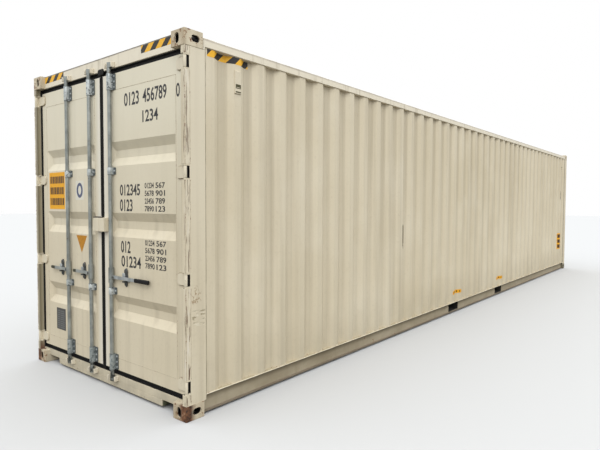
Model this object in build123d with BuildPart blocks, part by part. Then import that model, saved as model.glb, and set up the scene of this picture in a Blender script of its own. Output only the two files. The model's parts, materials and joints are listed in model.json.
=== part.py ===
from build123d import *
import os

# A 40 ft high-cube freight container, doors closed and locked.
# Origin at the middle of the base. +X runs from the door end to the blank end,
# +Y to the left as seen by someone facing the doors, +Z up. Millimetres.

# Outside size and corner castings
LENGTH = 12192.0
WIDTH = 2438.0
HEIGHT = 2896.0
CASTING_LENGTH = 178.0
CASTING_WIDTH = 162.0
CASTING_HEIGHT = 118.0
CASTING_WALL = 15.0
CASTING_INNER_WALL = 12.0
CASTING_PLATE = 28.0
CASTING_EDGE = 10.0
WELD_SEAM = 0.2
SLOT_FROM_END = 103.5
SLOT_FROM_SIDE = 89.5
SLOT_LENGTH = 124.5
SLOT_RADIUS = 31.75
SIDE_HOLE_LENGTH = 79.5
SIDE_HOLE_WIDTH = 51.0
SIDE_HOLE_HEIGHT = 52.0

# Posts
FACE_GAP = 4.0
SIDE_GAP = 3.0
REAR_POST_DEPTH = 196.0
REAR_POST_WIDTH = 46.0
POST_PLATE = 6.0
POST_CHANNEL_PLATE = 10.0
POST_CHANNEL_DEPTH = 113.0
FRONT_POST_SIDE = 196.0
FRONT_POST_FACE = 120.0
FRONT_POST_RETURN = 52.0

# Rails, header and sill
TOP_RAIL = 60.0
TOP_RAIL_WALL = 3.0
TOP_RAIL_DROP = 36.0
BOTTOM_RAIL_BASE = 17.0
BOTTOM_RAIL_TOP = 162.0
BOTTOM_RAIL_FLANGE = 48.0
BOTTOM_RAIL_LIP = 30.0
BOTTOM_RAIL_PLATE = 4.5
HEADER_FACE = 44.0
HEADER_DEPTH = 100.0
HEADER_CREST = 40.0
HEADER_DROP = 6.0
HEADER_PLATE = 4.0
ROOF_LAP = 30.0
SILL_BASE = 20.0
SILL_FACE = 48.0
SILL_TOP = 133.0
SILL_STEP = 45.0
SILL_DEPTH = 95.0
SILL_FOOT = 60.0
SILL_PLATE = 4.5
RECESS_LENGTH = 201.0
RECESS_TOP = 72.0

# Side walls: outer flat, slope, inner flat, slope
WALL_OUTER_FLAT = 72.0
WALL_INNER_FLAT = 70.0
WALL_SLOPE = 68.0
WALL_DEPTH = 36.0
WALL_SHEET = 2.0
WALL_LEAST_FLAT = 90.0
WALL_GAP = 11.0

# Blank end wall
END_OUTER_FLAT = 110.0
END_INNER_FLAT = 104.0
END_SLOPE = 18.0
END_DEPTH = 45.7
END_SHEET = 2.0
END_LEAST_FLAT = 90.0
END_WALL_GAP = 14.0

# Roof sheet
ROOF_CREST = 91.0
ROOF_VALLEY = 91.0
ROOF_SLOPE = 13.0
ROOF_DEPTH = 20.0
ROOF_SHEET = 2.0
ROOF_LEAST_FLAT = 350.0
ROOF_SET_IN = 8.0
RIB_SET_IN = 80.0
ROOF_PLATE_LENGTH = 300.0
ROOF_PLATE_WIDTH = 250.0
ROOF_PLATE = 4.0

# Floor and underframe
FLOOR_THICKNESS = 28.0
MEMBER_HEIGHT = 122.0
MEMBER_FLANGE = 45.0
MEMBER_PLATE = 4.5
MEMBER_PITCH = 300.0
POCKET_PITCH = 2050.0
POCKET_WIDTH = 360.0
POCKET_HEIGHT = 115.0
POCKET_BASE = 20.0
POCKET_PLATE = 6.0
POCKET_FRAME = 40.0
POCKET_STRAP = 420.0
TUNNEL_WIDTH = 1029.0
TUNNEL_HEIGHT = 120.0
TUNNEL_LENGTH = 3140.0
TUNNEL_PLATE = 4.0

# Doors
DOOR_FACE = 50.0
DOOR_DEPTH = 50.0
DOOR_BASE = 176.0
DOOR_TOP_GAP = 44.0
DOOR_EDGE = 1138.0
CENTRE_GAP = 42.0
INNER_STILE = 100.0
OUTER_STILE = 86.0
TOP_MEMBER = 140.0
BOTTOM_MEMBER = 105.0
DOOR_TUBE_WALL = 3.0
PANEL_SHEET = 2.0
TROUGH_LOW = 557.0
TROUGH_HIGH = 684.0
TROUGH_MIDDLE_RISE = 52.0
TROUGH_HEIGHT = 210.0
TROUGH_FLAT = 70.0
TROUGH_DEPTH = 36.0
TROUGH_END_SLOPE = 40.0
TROUGH_MARGIN = 6.0
GASKET_SET_BACK = 1.0
GASKET_DEPTH = 36.0
GASKET_CLEARANCE = 5.0
GASKET_LIP = 5.0
GASKET_GROOVE = 14.0
SEAL_GAP = 17.0

# Hinges
HINGE_COUNT = 4
LOW_HINGE = 80.0
HIGH_HINGE = 73.0
PIN_SET_IN = 16.0
PIN_RADIUS = 7.0
PIN_CLEARANCE = 0.3
KNUCKLE_RADIUS = 13.0
BLADE_HEIGHT = 85.0
BLADE_THICKNESS = 12.0
BLADE_LAP = 66.0
BLADE_ROUND = 30.0
BEND_OFFSET = 5.5
LUG_THICKNESS = 12.0
LUG_CLEARANCE = 3.0
NOTCH_DEPTH = 62.0
SIDE_NOTCH_DEPTH = 44.0

# Lock rods, guides, cams and keepers
ROD_RADIUS = 17.0
ROD_WALL = 3.0
ROD_SET_IN = 23.0
ROD_BELOW_SILL = 51.0
ROD_ABOVE_HEADER = 46.0
ROD_CLEARANCE = 1.0
LEFT_OUTER_ROD = 585.0
LEFT_INNER_ROD = 169.0
RIGHT_ROD = -171.0
CAM_HEIGHT = 42.0
CAM_COLLAR = 18.0
CAM_REACH = 36.0
CAM_LOBE_RADIUS = 9.0
KEEPER_GAP = 10.0
KEEPER_EAR = 10.0
KEEPER_FOOT = 30.0
KEEPER_FOOT_PLATE = 6.0
KEEPER_FRONT = 8.0
KEEPER_ROUND = 4.0
GUIDE_WALL = 4.0
GUIDE_PAD = 6.0
GUIDE_ROUND = 9.0
LOW_SMALL_GUIDE = 868.0
HIGH_SMALL_GUIDE = 829.0
SMALL_GUIDE = 60.0
SMALL_GUIDE_WIDTH = 100.0
END_GUIDE_WIDTH = 120.0
END_GUIDE = 136.0
LOW_GUIDE_GAP = 4.0
HIGH_GUIDE_GAP = 4.0

# Handles, their hubs and retainers
HANDLE_HEIGHT = 992.0
HANDLE_THICKNESS = 8.0
HANDLE_WIDTH = 28.0
HANDLE_PIVOT = 38.0
PIVOT_RADIUS = 6.0
PIVOT_CLEARANCE = 0.5
EAR_THICKNESS = 6.0
EAR_GAP = 1.0
EAR_RADIUS = 15.0
HUB_RADIUS = 23.0
HUB_HEIGHT = 130.0
HUB_LIFT = 14.0
OUTER_HANDLE_TIP = 940.0
INNER_HANDLE_TIP = 497.0
RIGHT_HANDLE_TIP = -716.0
GRIP_LENGTH = 185.0
GRIP_HEIGHT = 34.0
GRIP_THICKNESS = 24.0
GRIP_END = 6.0
RETAINERS = {"left": [744.0, 326.0], "right": [-369.0]}
RETAINER_WIDTH = 50.0
RETAINER_HEIGHT = 160.0
RETAINER_TIP = 12.0
RETAINER_PLATE = 6.0
RETAINER_LIFT = 8.0
SHELF_WIDTH = 30.0
SHELF_THICKNESS = 12.0
SHELF_CLEARANCE = 6.0
CATCH_HEIGHT = 26.0
CATCH_CLEARANCE = 8.0

# Lock box over the gap between the doors, and wall vents
BOX_BASE = 1380.0
BOX_HEIGHT = 119.0
BOX_HALF_WIDTH = 88.0
BOX_PROUD = 44.0
BOX_GAP = 6.0
BOX_WALL = 4.0
VENT_LENGTH = 70.0
VENT_HEIGHT = 182.0
VENT_DROP = 292.0
VENT_PROUD = 10.0
VENT_SHELL = 2.0
VENT_BEVEL = 4.0
VENT_WAVE = 1

# Places worked out from the sizes above
DOOR_END = -LENGTH / 2
BLANK_END = LENGTH / 2
SIDE = WIDTH / 2
CASTING_IN = SIDE - CASTING_WIDTH
TOP_CASTING_BASE = HEIGHT - CASTING_HEIGHT
SLOT_X = LENGTH / 2 - SLOT_FROM_END
SLOT_Y = WIDTH / 2 - SLOT_FROM_SIDE
POST_OUT = SIDE - SIDE_GAP
POST_IN = POST_OUT - REAR_POST_WIDTH
RAIL_TOP = HEIGHT - TOP_RAIL_DROP
TOP_RAIL_BASE = RAIL_TOP - TOP_RAIL
HEADER_TOP = HEIGHT - HEADER_DROP
HEADER_BACK = DOOR_END + HEADER_FACE + HEADER_DEPTH
FLOOR_TOP = BOTTOM_RAIL_TOP + FLOOR_THICKNESS
RAIL_WEB_IN = POST_OUT - BOTTOM_RAIL_FLANGE
WALL_START = DOOR_END + REAR_POST_DEPTH
WALL_END = BLANK_END - FRONT_POST_SIDE
HALF_GAP = CENTRE_GAP / 2
PIN_Y = POST_OUT - KNUCKLE_RADIUS
NOTCH_HALF = BLADE_HEIGHT / 2 + LUG_CLEARANCE + LUG_THICKNESS
DOOR_TOP = TOP_CASTING_BASE - DOOR_TOP_GAP
HINGE_PITCH = (DOOR_TOP - HIGH_HINGE - DOOR_BASE - LOW_HINGE) / (HINGE_COUNT - 1)
HINGE_HEIGHTS = [DOOR_BASE + LOW_HINGE + HINGE_PITCH * place for place in range(HINGE_COUNT)]
LOW_TROUGH_Z = DOOR_BASE + TROUGH_LOW
HIGH_TROUGH_Z = DOOR_TOP - TROUGH_HIGH
MIDDLE_TROUGH_Z = (LOW_TROUGH_Z + HIGH_TROUGH_Z) / 2 + TROUGH_MIDDLE_RISE
TROUGH_CENTRES = [LOW_TROUGH_Z, MIDDLE_TROUGH_Z, HIGH_TROUGH_Z]
ROD_BASE = SILL_TOP - ROD_BELOW_SILL
ROD_TOP = TOP_CASTING_BASE + ROD_ABOVE_HEADER
ROD_X = DOOR_END + ROD_SET_IN
FACE_X = DOOR_END + DOOR_FACE

os.makedirs("parts", exist_ok=True)


def block(x, y, z, mode=Mode.ADD):
    """Rectangular block between two values on each axis."""
    middle = tuple((span[0] + span[1]) / 2 for span in (x, y, z))
    size = tuple(abs(span[1] - span[0]) for span in (x, y, z))
    with Locations(middle):
        Box(*size, mode=mode)


def cross_tube(x, y, z, wall):
    """Hollow box along Y, open at both ends."""
    block(x, y, z)
    inner_x = (x[0] + wall, x[1] - wall)
    inner_z = (z[0] + wall, z[1] - wall)
    block(inner_x, y, inner_z, mode=Mode.SUBTRACT)


def wave_count(start, end, flat, slope, far_flat, least_flat):
    """Most whole waves that leave the wanted flat at each end."""
    pitch = flat + far_flat + 2 * slope
    return int((end - start - 2 * least_flat + flat) // pitch)


def wave_points(start, end, waves, flat, slope, far_flat, depth):
    """Fold line of a pressed sheet: the end flats share what the waves leave."""
    pitch = flat + far_flat + 2 * slope
    first = start + (end - start - waves * pitch + flat) / 2
    points = [(start, 0)]
    for wave in range(waves):
        fold = first + wave * pitch
        points += [(fold, 0), (fold + slope, depth)]
        points += [(fold + slope + far_flat, depth), (fold + 2 * slope + far_flat, 0)]
    return points + [(end, 0)]


WALL_WAVES = wave_count(
    WALL_START, WALL_END, WALL_OUTER_FLAT, WALL_SLOPE, WALL_INNER_FLAT, WALL_LEAST_FLAT
)


def sheet_outline(points, thickness):
    """Closed outline of a sheet that follows the fold line."""
    back = [(along, out + thickness) for along, out in reversed(points)]
    return points + back + [points[0]]


def corner_castings(name, base, plate_side):
    """Four hollow corner castings with their three openings each."""
    middle = base + CASTING_HEIGHT / 2
    inner_base = base + (CASTING_PLATE if plate_side < 0 else CASTING_INNER_WALL)
    inner_top = base + CASTING_HEIGHT - (CASTING_PLATE if plate_side > 0 else CASTING_INNER_WALL)
    plate_z = base if plate_side < 0 else base + CASTING_HEIGHT
    with BuildPart() as castings:
        block((BLANK_END - CASTING_LENGTH, BLANK_END), (CASTING_IN, SIDE), (base, base + CASTING_HEIGHT))
        fillet(castings.edges().filter_by(Axis.Z), CASTING_EDGE)
        block(
            (BLANK_END - CASTING_LENGTH + CASTING_INNER_WALL, BLANK_END - CASTING_WALL),
            (CASTING_IN + CASTING_INNER_WALL, SIDE - CASTING_WALL),
            (inner_base, inner_top),
            mode=Mode.SUBTRACT,
        )
        with BuildSketch(Plane.XY.offset(plate_z)):
            with Locations((SLOT_X, SLOT_Y)):
                SlotOverall(SLOT_LENGTH, 2 * SLOT_RADIUS)
        extrude(amount=-plate_side * CASTING_PLATE, mode=Mode.SUBTRACT)
        with BuildSketch(Plane.XZ.offset(-SIDE)):
            with Locations((SLOT_X, middle)):
                SlotOverall(SIDE_HOLE_LENGTH, SIDE_HOLE_HEIGHT)
        extrude(amount=CASTING_WALL, mode=Mode.SUBTRACT)
        with BuildSketch(Plane.YZ.offset(BLANK_END)):
            with Locations((SLOT_Y, middle)):
                SlotOverall(SIDE_HOLE_LENGTH, SIDE_HOLE_WIDTH, rotation=90)
        extrude(amount=-CASTING_WALL, mode=Mode.SUBTRACT)
        mirror(about=Plane.XZ)
        mirror(about=Plane.YZ)
    castings.part.label = name
    export_step(castings.part, f"parts/{name}.step")


def rear_posts():
    """Pressed outer section closed by a rolled channel, notched at each hinge."""
    front = DOOR_END + FACE_GAP
    back = DOOR_END + REAR_POST_DEPTH
    channel = back - POST_CHANNEL_DEPTH
    with BuildPart() as posts:
        with BuildSketch(Plane.XY.offset(CASTING_HEIGHT)):
            with BuildLine():
                Polyline(
                    (front, POST_IN), (front, POST_OUT), (back, POST_OUT), (back, POST_IN), (front, POST_IN)
                )
            make_face()
            with BuildLine():
                Polyline(
                    (front + POST_PLATE, POST_IN + POST_PLATE),
                    (front + POST_PLATE, POST_OUT - POST_PLATE),
                    (back - POST_CHANNEL_PLATE, POST_OUT - POST_PLATE),
                    (back - POST_CHANNEL_PLATE, POST_IN + POST_CHANNEL_PLATE),
                    (channel + POST_CHANNEL_PLATE, POST_IN + POST_CHANNEL_PLATE),
                    (channel, POST_IN + POST_PLATE),
                    (front + POST_PLATE, POST_IN + POST_PLATE),
                )
            make_face(mode=Mode.SUBTRACT)
        extrude(amount=TOP_CASTING_BASE - CASTING_HEIGHT)
        for height in HINGE_HEIGHTS:
            notch = (height - NOTCH_HALF, height + NOTCH_HALF)
            inner = (POST_IN, POST_OUT - POST_PLATE)
            block((DOOR_END, DOOR_END + NOTCH_DEPTH), inner, notch, mode=Mode.SUBTRACT)
            block((DOOR_END, DOOR_END + SIDE_NOTCH_DEPTH), (POST_IN, SIDE), notch, mode=Mode.SUBTRACT)
        mirror(about=Plane.XZ)
    posts.part.label = "rear_posts"
    export_step(posts.part, "parts/rear_posts.step")


def front_posts():
    """Pressed angle posts of the blank end, with a return that meets the end wall."""
    face = BLANK_END - FACE_GAP
    back = BLANK_END - FRONT_POST_SIDE
    inner = POST_OUT - FRONT_POST_FACE
    with BuildPart() as posts:
        with BuildSketch(Plane.XY.offset(CASTING_HEIGHT)):
            with BuildLine():
                Polyline(
                    (back, POST_OUT),
                    (face, POST_OUT),
                    (face, inner),
                    (face - FRONT_POST_RETURN, inner),
                    (face - FRONT_POST_RETURN, inner + POST_PLATE),
                    (face - POST_PLATE, inner + POST_PLATE),
                    (face - POST_PLATE, POST_OUT - POST_PLATE),
                    (back, POST_OUT - POST_PLATE),
                    (back, POST_OUT),
                )
            make_face()
        extrude(amount=TOP_CASTING_BASE - CASTING_HEIGHT)
        mirror(about=Plane.XZ)
    posts.part.label = "front_posts"
    export_step(posts.part, "parts/front_posts.step")


def door_header():
    """Hollow beam between the upper castings, sloping back down to the roof."""
    face = DOOR_END + HEADER_FACE
    with BuildPart() as header:
        with BuildSketch(Plane.XZ.offset(-CASTING_IN)):
            with BuildLine():
                Polyline(
                    (face, TOP_CASTING_BASE),
                    (HEADER_BACK, TOP_CASTING_BASE),
                    (HEADER_BACK, RAIL_TOP),
                    (HEADER_BACK - ROOF_LAP, RAIL_TOP),
                    (face + HEADER_CREST, HEADER_TOP),
                    (face, HEADER_TOP),
                    (face, TOP_CASTING_BASE),
                )
            make_face()
            offset(amount=-HEADER_PLATE, mode=Mode.SUBTRACT)
        extrude(amount=2 * CASTING_IN)
    header.part.label = "door_header"
    export_step(header.part, "parts/door_header.step")


def door_sill():
    """Welded sill: a low front tube, a higher back tube and a foot between the sling recesses."""
    face = DOOR_END + SILL_FACE
    step = face + SILL_STEP
    back = face + SILL_DEPTH
    over_castings = (CASTING_IN + WELD_SEAM, POST_IN)
    foot_end = CASTING_IN - RECESS_LENGTH
    foot_top = RECESS_TOP - WELD_SEAM
    with BuildPart() as ends:
        cross_tube((face, step), over_castings, (CASTING_HEIGHT, SILL_TOP), SILL_PLATE)
        cross_tube((step + WELD_SEAM, back), over_castings, (CASTING_HEIGHT, BOTTOM_RAIL_TOP), SILL_PLATE)
        mirror(about=Plane.XZ)
    with BuildPart() as beam:
        cross_tube((face, step), (-CASTING_IN, CASTING_IN), (RECESS_TOP, SILL_TOP), SILL_PLATE)
        cross_tube(
            (step + WELD_SEAM, back), (-CASTING_IN, CASTING_IN), (RECESS_TOP, BOTTOM_RAIL_TOP), SILL_PLATE
        )
        block((face, face + SILL_FOOT), (-foot_end, foot_end), (SILL_BASE, foot_top))
        block(
            (face + SILL_PLATE, face + SILL_FOOT - SILL_PLATE),
            (SILL_PLATE - foot_end, foot_end - SILL_PLATE),
            (SILL_BASE + SILL_PLATE, foot_top - SILL_PLATE),
            mode=Mode.SUBTRACT,
        )
        add(ends.part)
    beam.part.label = "door_sill"
    export_step(beam.part, "parts/door_sill.step")


def front_rails():
    """Upper and lower rails of the blank end; the lower one leaves the tunnel open."""
    face = BLANK_END - FACE_GAP
    back = face - TOP_RAIL
    with BuildPart() as upper:
        block((back, face), (-CASTING_IN, CASTING_IN), (TOP_RAIL_BASE, RAIL_TOP))
        block(
            (back + TOP_RAIL_WALL, face - TOP_RAIL_WALL),
            (-CASTING_IN, CASTING_IN),
            (TOP_RAIL_BASE + TOP_RAIL_WALL, RAIL_TOP - TOP_RAIL_WALL),
            mode=Mode.SUBTRACT,
        )
    upper.part.label = "front_top_rail"
    export_step(upper.part, "parts/front_top_rail.step")

    with BuildPart() as lower:
        block((back, face), (-CASTING_IN, CASTING_IN), (BOTTOM_RAIL_BASE, BOTTOM_RAIL_TOP))
        block(
            (back, face - BOTTOM_RAIL_PLATE),
            (-CASTING_IN, CASTING_IN),
            (BOTTOM_RAIL_BASE + BOTTOM_RAIL_PLATE, BOTTOM_RAIL_TOP - BOTTOM_RAIL_PLATE),
            mode=Mode.SUBTRACT,
        )
        block(
            (back, face),
            (-TUNNEL_WIDTH / 2 - TUNNEL_PLATE, TUNNEL_WIDTH / 2 + TUNNEL_PLATE),
            (BOTTOM_RAIL_BASE, TUNNEL_HEIGHT + TUNNEL_PLATE),
            mode=Mode.SUBTRACT,
        )
    lower.part.label = "front_bottom_rail"
    export_step(lower.part, "parts/front_bottom_rail.step")


def top_side_rails():
    """Square tubes between the top castings, with a gusset down to each post."""
    start = DOOR_END + CASTING_LENGTH
    end = BLANK_END - CASTING_LENGTH
    with BuildPart() as rails:
        with BuildSketch(Plane.YZ.offset(start)):
            with Locations((POST_OUT - TOP_RAIL / 2, TOP_RAIL_BASE + TOP_RAIL / 2)):
                Rectangle(TOP_RAIL, TOP_RAIL)
                Rectangle(TOP_RAIL - 2 * TOP_RAIL_WALL, TOP_RAIL - 2 * TOP_RAIL_WALL, mode=Mode.SUBTRACT)
        extrude(amount=end - start)
        block((start, WALL_START), (POST_OUT - POST_PLATE, POST_OUT), (TOP_CASTING_BASE, TOP_RAIL_BASE))
        block((WALL_END, end), (POST_OUT - POST_PLATE, POST_OUT), (TOP_CASTING_BASE, TOP_RAIL_BASE))
        mirror(about=Plane.XZ)
    rails.part.label = "top_side_rails"
    export_step(rails.part, "parts/top_side_rails.step")


def rail_length(low, high):
    """A length of bottom side rail: a channel that opens outwards, with a low lip."""
    with BuildSketch(Plane.YZ.offset(low)) as profile:
        with BuildLine():
            Polyline(
                (POST_OUT, BOTTOM_RAIL_TOP),
                (RAIL_WEB_IN, BOTTOM_RAIL_TOP),
                (RAIL_WEB_IN, BOTTOM_RAIL_BASE),
                (RAIL_WEB_IN + BOTTOM_RAIL_LIP, BOTTOM_RAIL_BASE),
                (RAIL_WEB_IN + BOTTOM_RAIL_LIP, BOTTOM_RAIL_BASE + BOTTOM_RAIL_PLATE),
                (RAIL_WEB_IN + BOTTOM_RAIL_PLATE, BOTTOM_RAIL_BASE + BOTTOM_RAIL_PLATE),
                (RAIL_WEB_IN + BOTTOM_RAIL_PLATE, BOTTOM_RAIL_TOP - BOTTOM_RAIL_PLATE),
                (POST_OUT, BOTTOM_RAIL_TOP - BOTTOM_RAIL_PLATE),
                (POST_OUT, BOTTOM_RAIL_TOP),
            )
        make_face()
    extrude(profile.sketch, amount=high - low)


def bottom_side_rails():
    """Three lengths of channel on each side, joined by the two pocket sections."""
    start = DOOR_END + CASTING_LENGTH
    end = BLANK_END - CASTING_LENGTH
    near = POCKET_PITCH / 2 - POCKET_WIDTH / 2 - POCKET_FRAME
    far = POCKET_PITCH / 2 + POCKET_WIDTH / 2 + POCKET_FRAME
    with BuildPart() as rails:
        for low, high in ((start, -far), (-near, near), (far, end)):
            rail_length(low, high)
        for span in ((start, WALL_START), (WALL_END, end)):
            block(span, (RAIL_WEB_IN, SIDE), (CASTING_HEIGHT, BOTTOM_RAIL_TOP), mode=Mode.SUBTRACT)
        mirror(about=Plane.XZ)
    rails.part.label = "bottom_side_rails"
    export_step(rails.part, "parts/bottom_side_rails.step")


def pocket_rail_sections():
    """Short lengths of the side rails, cut through for the forks."""
    with BuildPart() as sections:
        for side in (-1, 1):
            middle = side * POCKET_PITCH / 2
            outer = POCKET_WIDTH / 2 + POCKET_FRAME
            rail_length(middle - outer, middle + outer)
            block(
                (middle - POCKET_WIDTH / 2, middle + POCKET_WIDTH / 2),
                (RAIL_WEB_IN, RAIL_WEB_IN + BOTTOM_RAIL_PLATE),
                (POCKET_BASE + POCKET_PLATE, POCKET_BASE + POCKET_PLATE + POCKET_HEIGHT),
                mode=Mode.SUBTRACT,
            )
        mirror(about=Plane.XZ)
    sections.part.label = "pocket_rail_sections"
    export_step(sections.part, "parts/pocket_rail_sections.step")


def side_wall(name, side):
    """Corrugated wall between the posts, from the bottom rail to the top rail."""
    folds = wave_points(
        WALL_START, WALL_END, WALL_WAVES, WALL_OUTER_FLAT, WALL_SLOPE, WALL_INNER_FLAT, WALL_DEPTH
    )
    outer = SIDE - WALL_GAP
    outline = [(along, side * (outer - into)) for along, into in sheet_outline(folds, WALL_SHEET)]
    with BuildPart() as wall:
        with BuildSketch(Plane.XY.offset(BOTTOM_RAIL_TOP)):
            with BuildLine():
                Polyline(*outline)
            make_face()
        extrude(amount=TOP_RAIL_BASE - BOTTOM_RAIL_TOP)
    wall.part.label = name
    export_step(wall.part, f"parts/{name}.step")


def front_wall():
    """Corrugated end wall between the front posts."""
    half = POST_OUT - FRONT_POST_FACE
    waves = wave_count(-half, half, END_OUTER_FLAT, END_SLOPE, END_INNER_FLAT, END_LEAST_FLAT)
    folds = wave_points(-half, half, waves, END_OUTER_FLAT, END_SLOPE, END_INNER_FLAT, END_DEPTH)
    outer = BLANK_END - FACE_GAP - END_WALL_GAP + TOP_RAIL_WALL
    outline = [(outer - into, along) for along, into in sheet_outline(folds, END_SHEET)]
    with BuildPart() as wall:
        with BuildSketch(Plane.XY.offset(BOTTOM_RAIL_TOP)):
            with BuildLine():
                Polyline(*outline)
            make_face()
        extrude(amount=TOP_RAIL_BASE - BOTTOM_RAIL_TOP)
        for side in (-1, 1):
            block(
                (BLANK_END - CASTING_LENGTH, BLANK_END),
                (side * CASTING_IN, side * SIDE),
                (TOP_CASTING_BASE, TOP_RAIL_BASE),
                mode=Mode.SUBTRACT,
            )
    wall.part.label = "front_wall"
    export_step(wall.part, "parts/front_wall.step")


def roof_ribs(start, end, shrink, base, mode):
    """Tapered ribs across the roof, all ends closed."""
    pitch = ROOF_CREST + ROOF_VALLEY + 2 * ROOF_SLOPE
    count = wave_count(start, end, ROOF_VALLEY, ROOF_SLOPE, ROOF_CREST, ROOF_LEAST_FLAT)
    first = (start + end) / 2 - (count - 1) * pitch / 2
    length = 2 * (POST_OUT - RIB_SET_IN)
    with BuildSketch(Plane.XY.offset(base)) as feet:
        with Locations(*[(first + rib * pitch, 0) for rib in range(count)]):
            Rectangle(ROOF_CREST + 2 * ROOF_SLOPE - shrink, length - shrink)
    lean = Vector(ROOF_DEPTH, ROOF_SLOPE, 0).get_angle(Vector(1, 0, 0))
    extrude(feet.sketch, amount=ROOF_DEPTH, taper=lean, mode=mode)


def roof_panel():
    """Roof sheet with pressed ribs, and a flat strip between the castings at each end."""
    start = HEADER_BACK - ROOF_LAP
    end = BLANK_END - FACE_GAP
    edge = POST_OUT - ROOF_SET_IN
    sheet = (DOOR_END + CASTING_LENGTH + WELD_SEAM, BLANK_END - CASTING_LENGTH - WELD_SEAM)
    level = (RAIL_TOP, RAIL_TOP + ROOF_SHEET)
    with BuildPart() as roof:
        block(sheet, (-edge, edge), level)
        roof_ribs(start, end, 0, RAIL_TOP + ROOF_SHEET, Mode.ADD)
        roof_ribs(start, end, ROOF_SHEET, RAIL_TOP, Mode.SUBTRACT)
        for strip in ((start, DOOR_END + CASTING_LENGTH), (BLANK_END - CASTING_LENGTH, end)):
            block(strip, (-CASTING_IN, CASTING_IN), level)
    roof.part.label = "roof_panel"
    export_step(roof.part, "parts/roof_panel.step")


def floor_boards():
    """Plywood floor from the sill to the end wall."""
    start = DOOR_END + SILL_FACE + SILL_DEPTH
    end = BLANK_END - FACE_GAP - TOP_RAIL
    with BuildPart() as floor:
        block((start, end), (-RAIL_WEB_IN, RAIL_WEB_IN), (BOTTOM_RAIL_TOP, FLOOR_TOP))
    floor.part.label = "floor_boards"
    export_step(floor.part, "parts/floor_boards.step")


def member_places():
    """Places of the cross members, clear of the two forklift pockets."""
    start = DOOR_END + SILL_FACE + SILL_DEPTH + MEMBER_PITCH
    end = BLANK_END - FACE_GAP - TOP_RAIL - MEMBER_PITCH / 2
    reach = POCKET_WIDTH / 2 + 2 * MEMBER_FLANGE
    places = []
    spot = start
    while spot < end:
        if all(abs(spot - side * POCKET_PITCH / 2) > reach for side in (-1, 1)):
            places.append(spot)
        spot += MEMBER_PITCH
    return places


def cross_members():
    """Pressed channels under the floor, deeper ones on both sides of each fork pocket."""
    half = RAIL_WEB_IN
    deep = BOTTOM_RAIL_TOP - POCKET_BASE
    with BuildPart() as members:
        with BuildSketch(Plane.XZ.offset(-half)):
            with Locations(*[(spot, BOTTOM_RAIL_TOP - MEMBER_HEIGHT / 2) for spot in member_places()]):
                Rectangle(MEMBER_FLANGE, MEMBER_HEIGHT)
                with Locations((MEMBER_PLATE, 0)):
                    Rectangle(MEMBER_FLANGE, MEMBER_HEIGHT - 2 * MEMBER_PLATE, mode=Mode.SUBTRACT)
            for end in (-1, 1):
                for side in (-1, 1):
                    spot = end * POCKET_PITCH / 2 + side * (POCKET_WIDTH + MEMBER_FLANGE) / 2
                    with Locations((spot, BOTTOM_RAIL_TOP - deep / 2)):
                        Rectangle(MEMBER_FLANGE, deep)
                    with Locations((spot + side * MEMBER_PLATE, BOTTOM_RAIL_TOP - deep / 2)):
                        Rectangle(MEMBER_FLANGE, deep - 2 * MEMBER_PLATE, mode=Mode.SUBTRACT)
        extrude(amount=2 * half)
        block(
            (BLANK_END - TUNNEL_LENGTH, BLANK_END),
            (-TUNNEL_WIDTH / 2 - TUNNEL_PLATE, TUNNEL_WIDTH / 2 + TUNNEL_PLATE),
            (0, TUNNEL_HEIGHT + TUNNEL_PLATE),
            mode=Mode.SUBTRACT,
        )
    members.part.label = "cross_members"
    export_step(members.part, "parts/cross_members.step")


def forklift_pockets():
    """Roof plate of each pocket and the straps under its two mouths."""
    roof = POCKET_BASE + POCKET_PLATE + POCKET_HEIGHT
    with BuildPart() as pockets:
        for side in (-1, 1):
            middle = side * POCKET_PITCH / 2
            along = (middle - POCKET_WIDTH / 2, middle + POCKET_WIDTH / 2)
            block(along, (-RAIL_WEB_IN, RAIL_WEB_IN), (roof, roof + POCKET_PLATE))
            for edge in (-1, 1):
                across = (edge * (RAIL_WEB_IN - POCKET_STRAP), edge * RAIL_WEB_IN)
                block(along, across, (POCKET_BASE, POCKET_BASE + POCKET_PLATE))
    pockets.part.label = "forklift_pockets"
    export_step(pockets.part, "parts/forklift_pockets.step")


def gooseneck_tunnel():
    """Raised duct under the blank end for a low trailer's neck."""
    start = BLANK_END - TUNNEL_LENGTH
    outer = TUNNEL_WIDTH / 2 + TUNNEL_PLATE
    with BuildPart() as tunnel:
        with BuildSketch(Plane.YZ.offset(start)):
            with BuildLine():
                Polyline(
                    (-outer, BOTTOM_RAIL_BASE),
                    (-outer, TUNNEL_HEIGHT + TUNNEL_PLATE),
                    (outer, TUNNEL_HEIGHT + TUNNEL_PLATE),
                    (outer, BOTTOM_RAIL_BASE),
                    (outer - TUNNEL_PLATE, BOTTOM_RAIL_BASE),
                    (outer - TUNNEL_PLATE, TUNNEL_HEIGHT),
                    (-outer + TUNNEL_PLATE, TUNNEL_HEIGHT),
                    (-outer + TUNNEL_PLATE, BOTTOM_RAIL_BASE),
                    (-outer, BOTTOM_RAIL_BASE),
                )
            make_face()
        extrude(amount=TUNNEL_LENGTH - FACE_GAP)
    tunnel.part.label = "gooseneck_tunnel"
    export_step(tunnel.part, "parts/gooseneck_tunnel.step")


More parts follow.
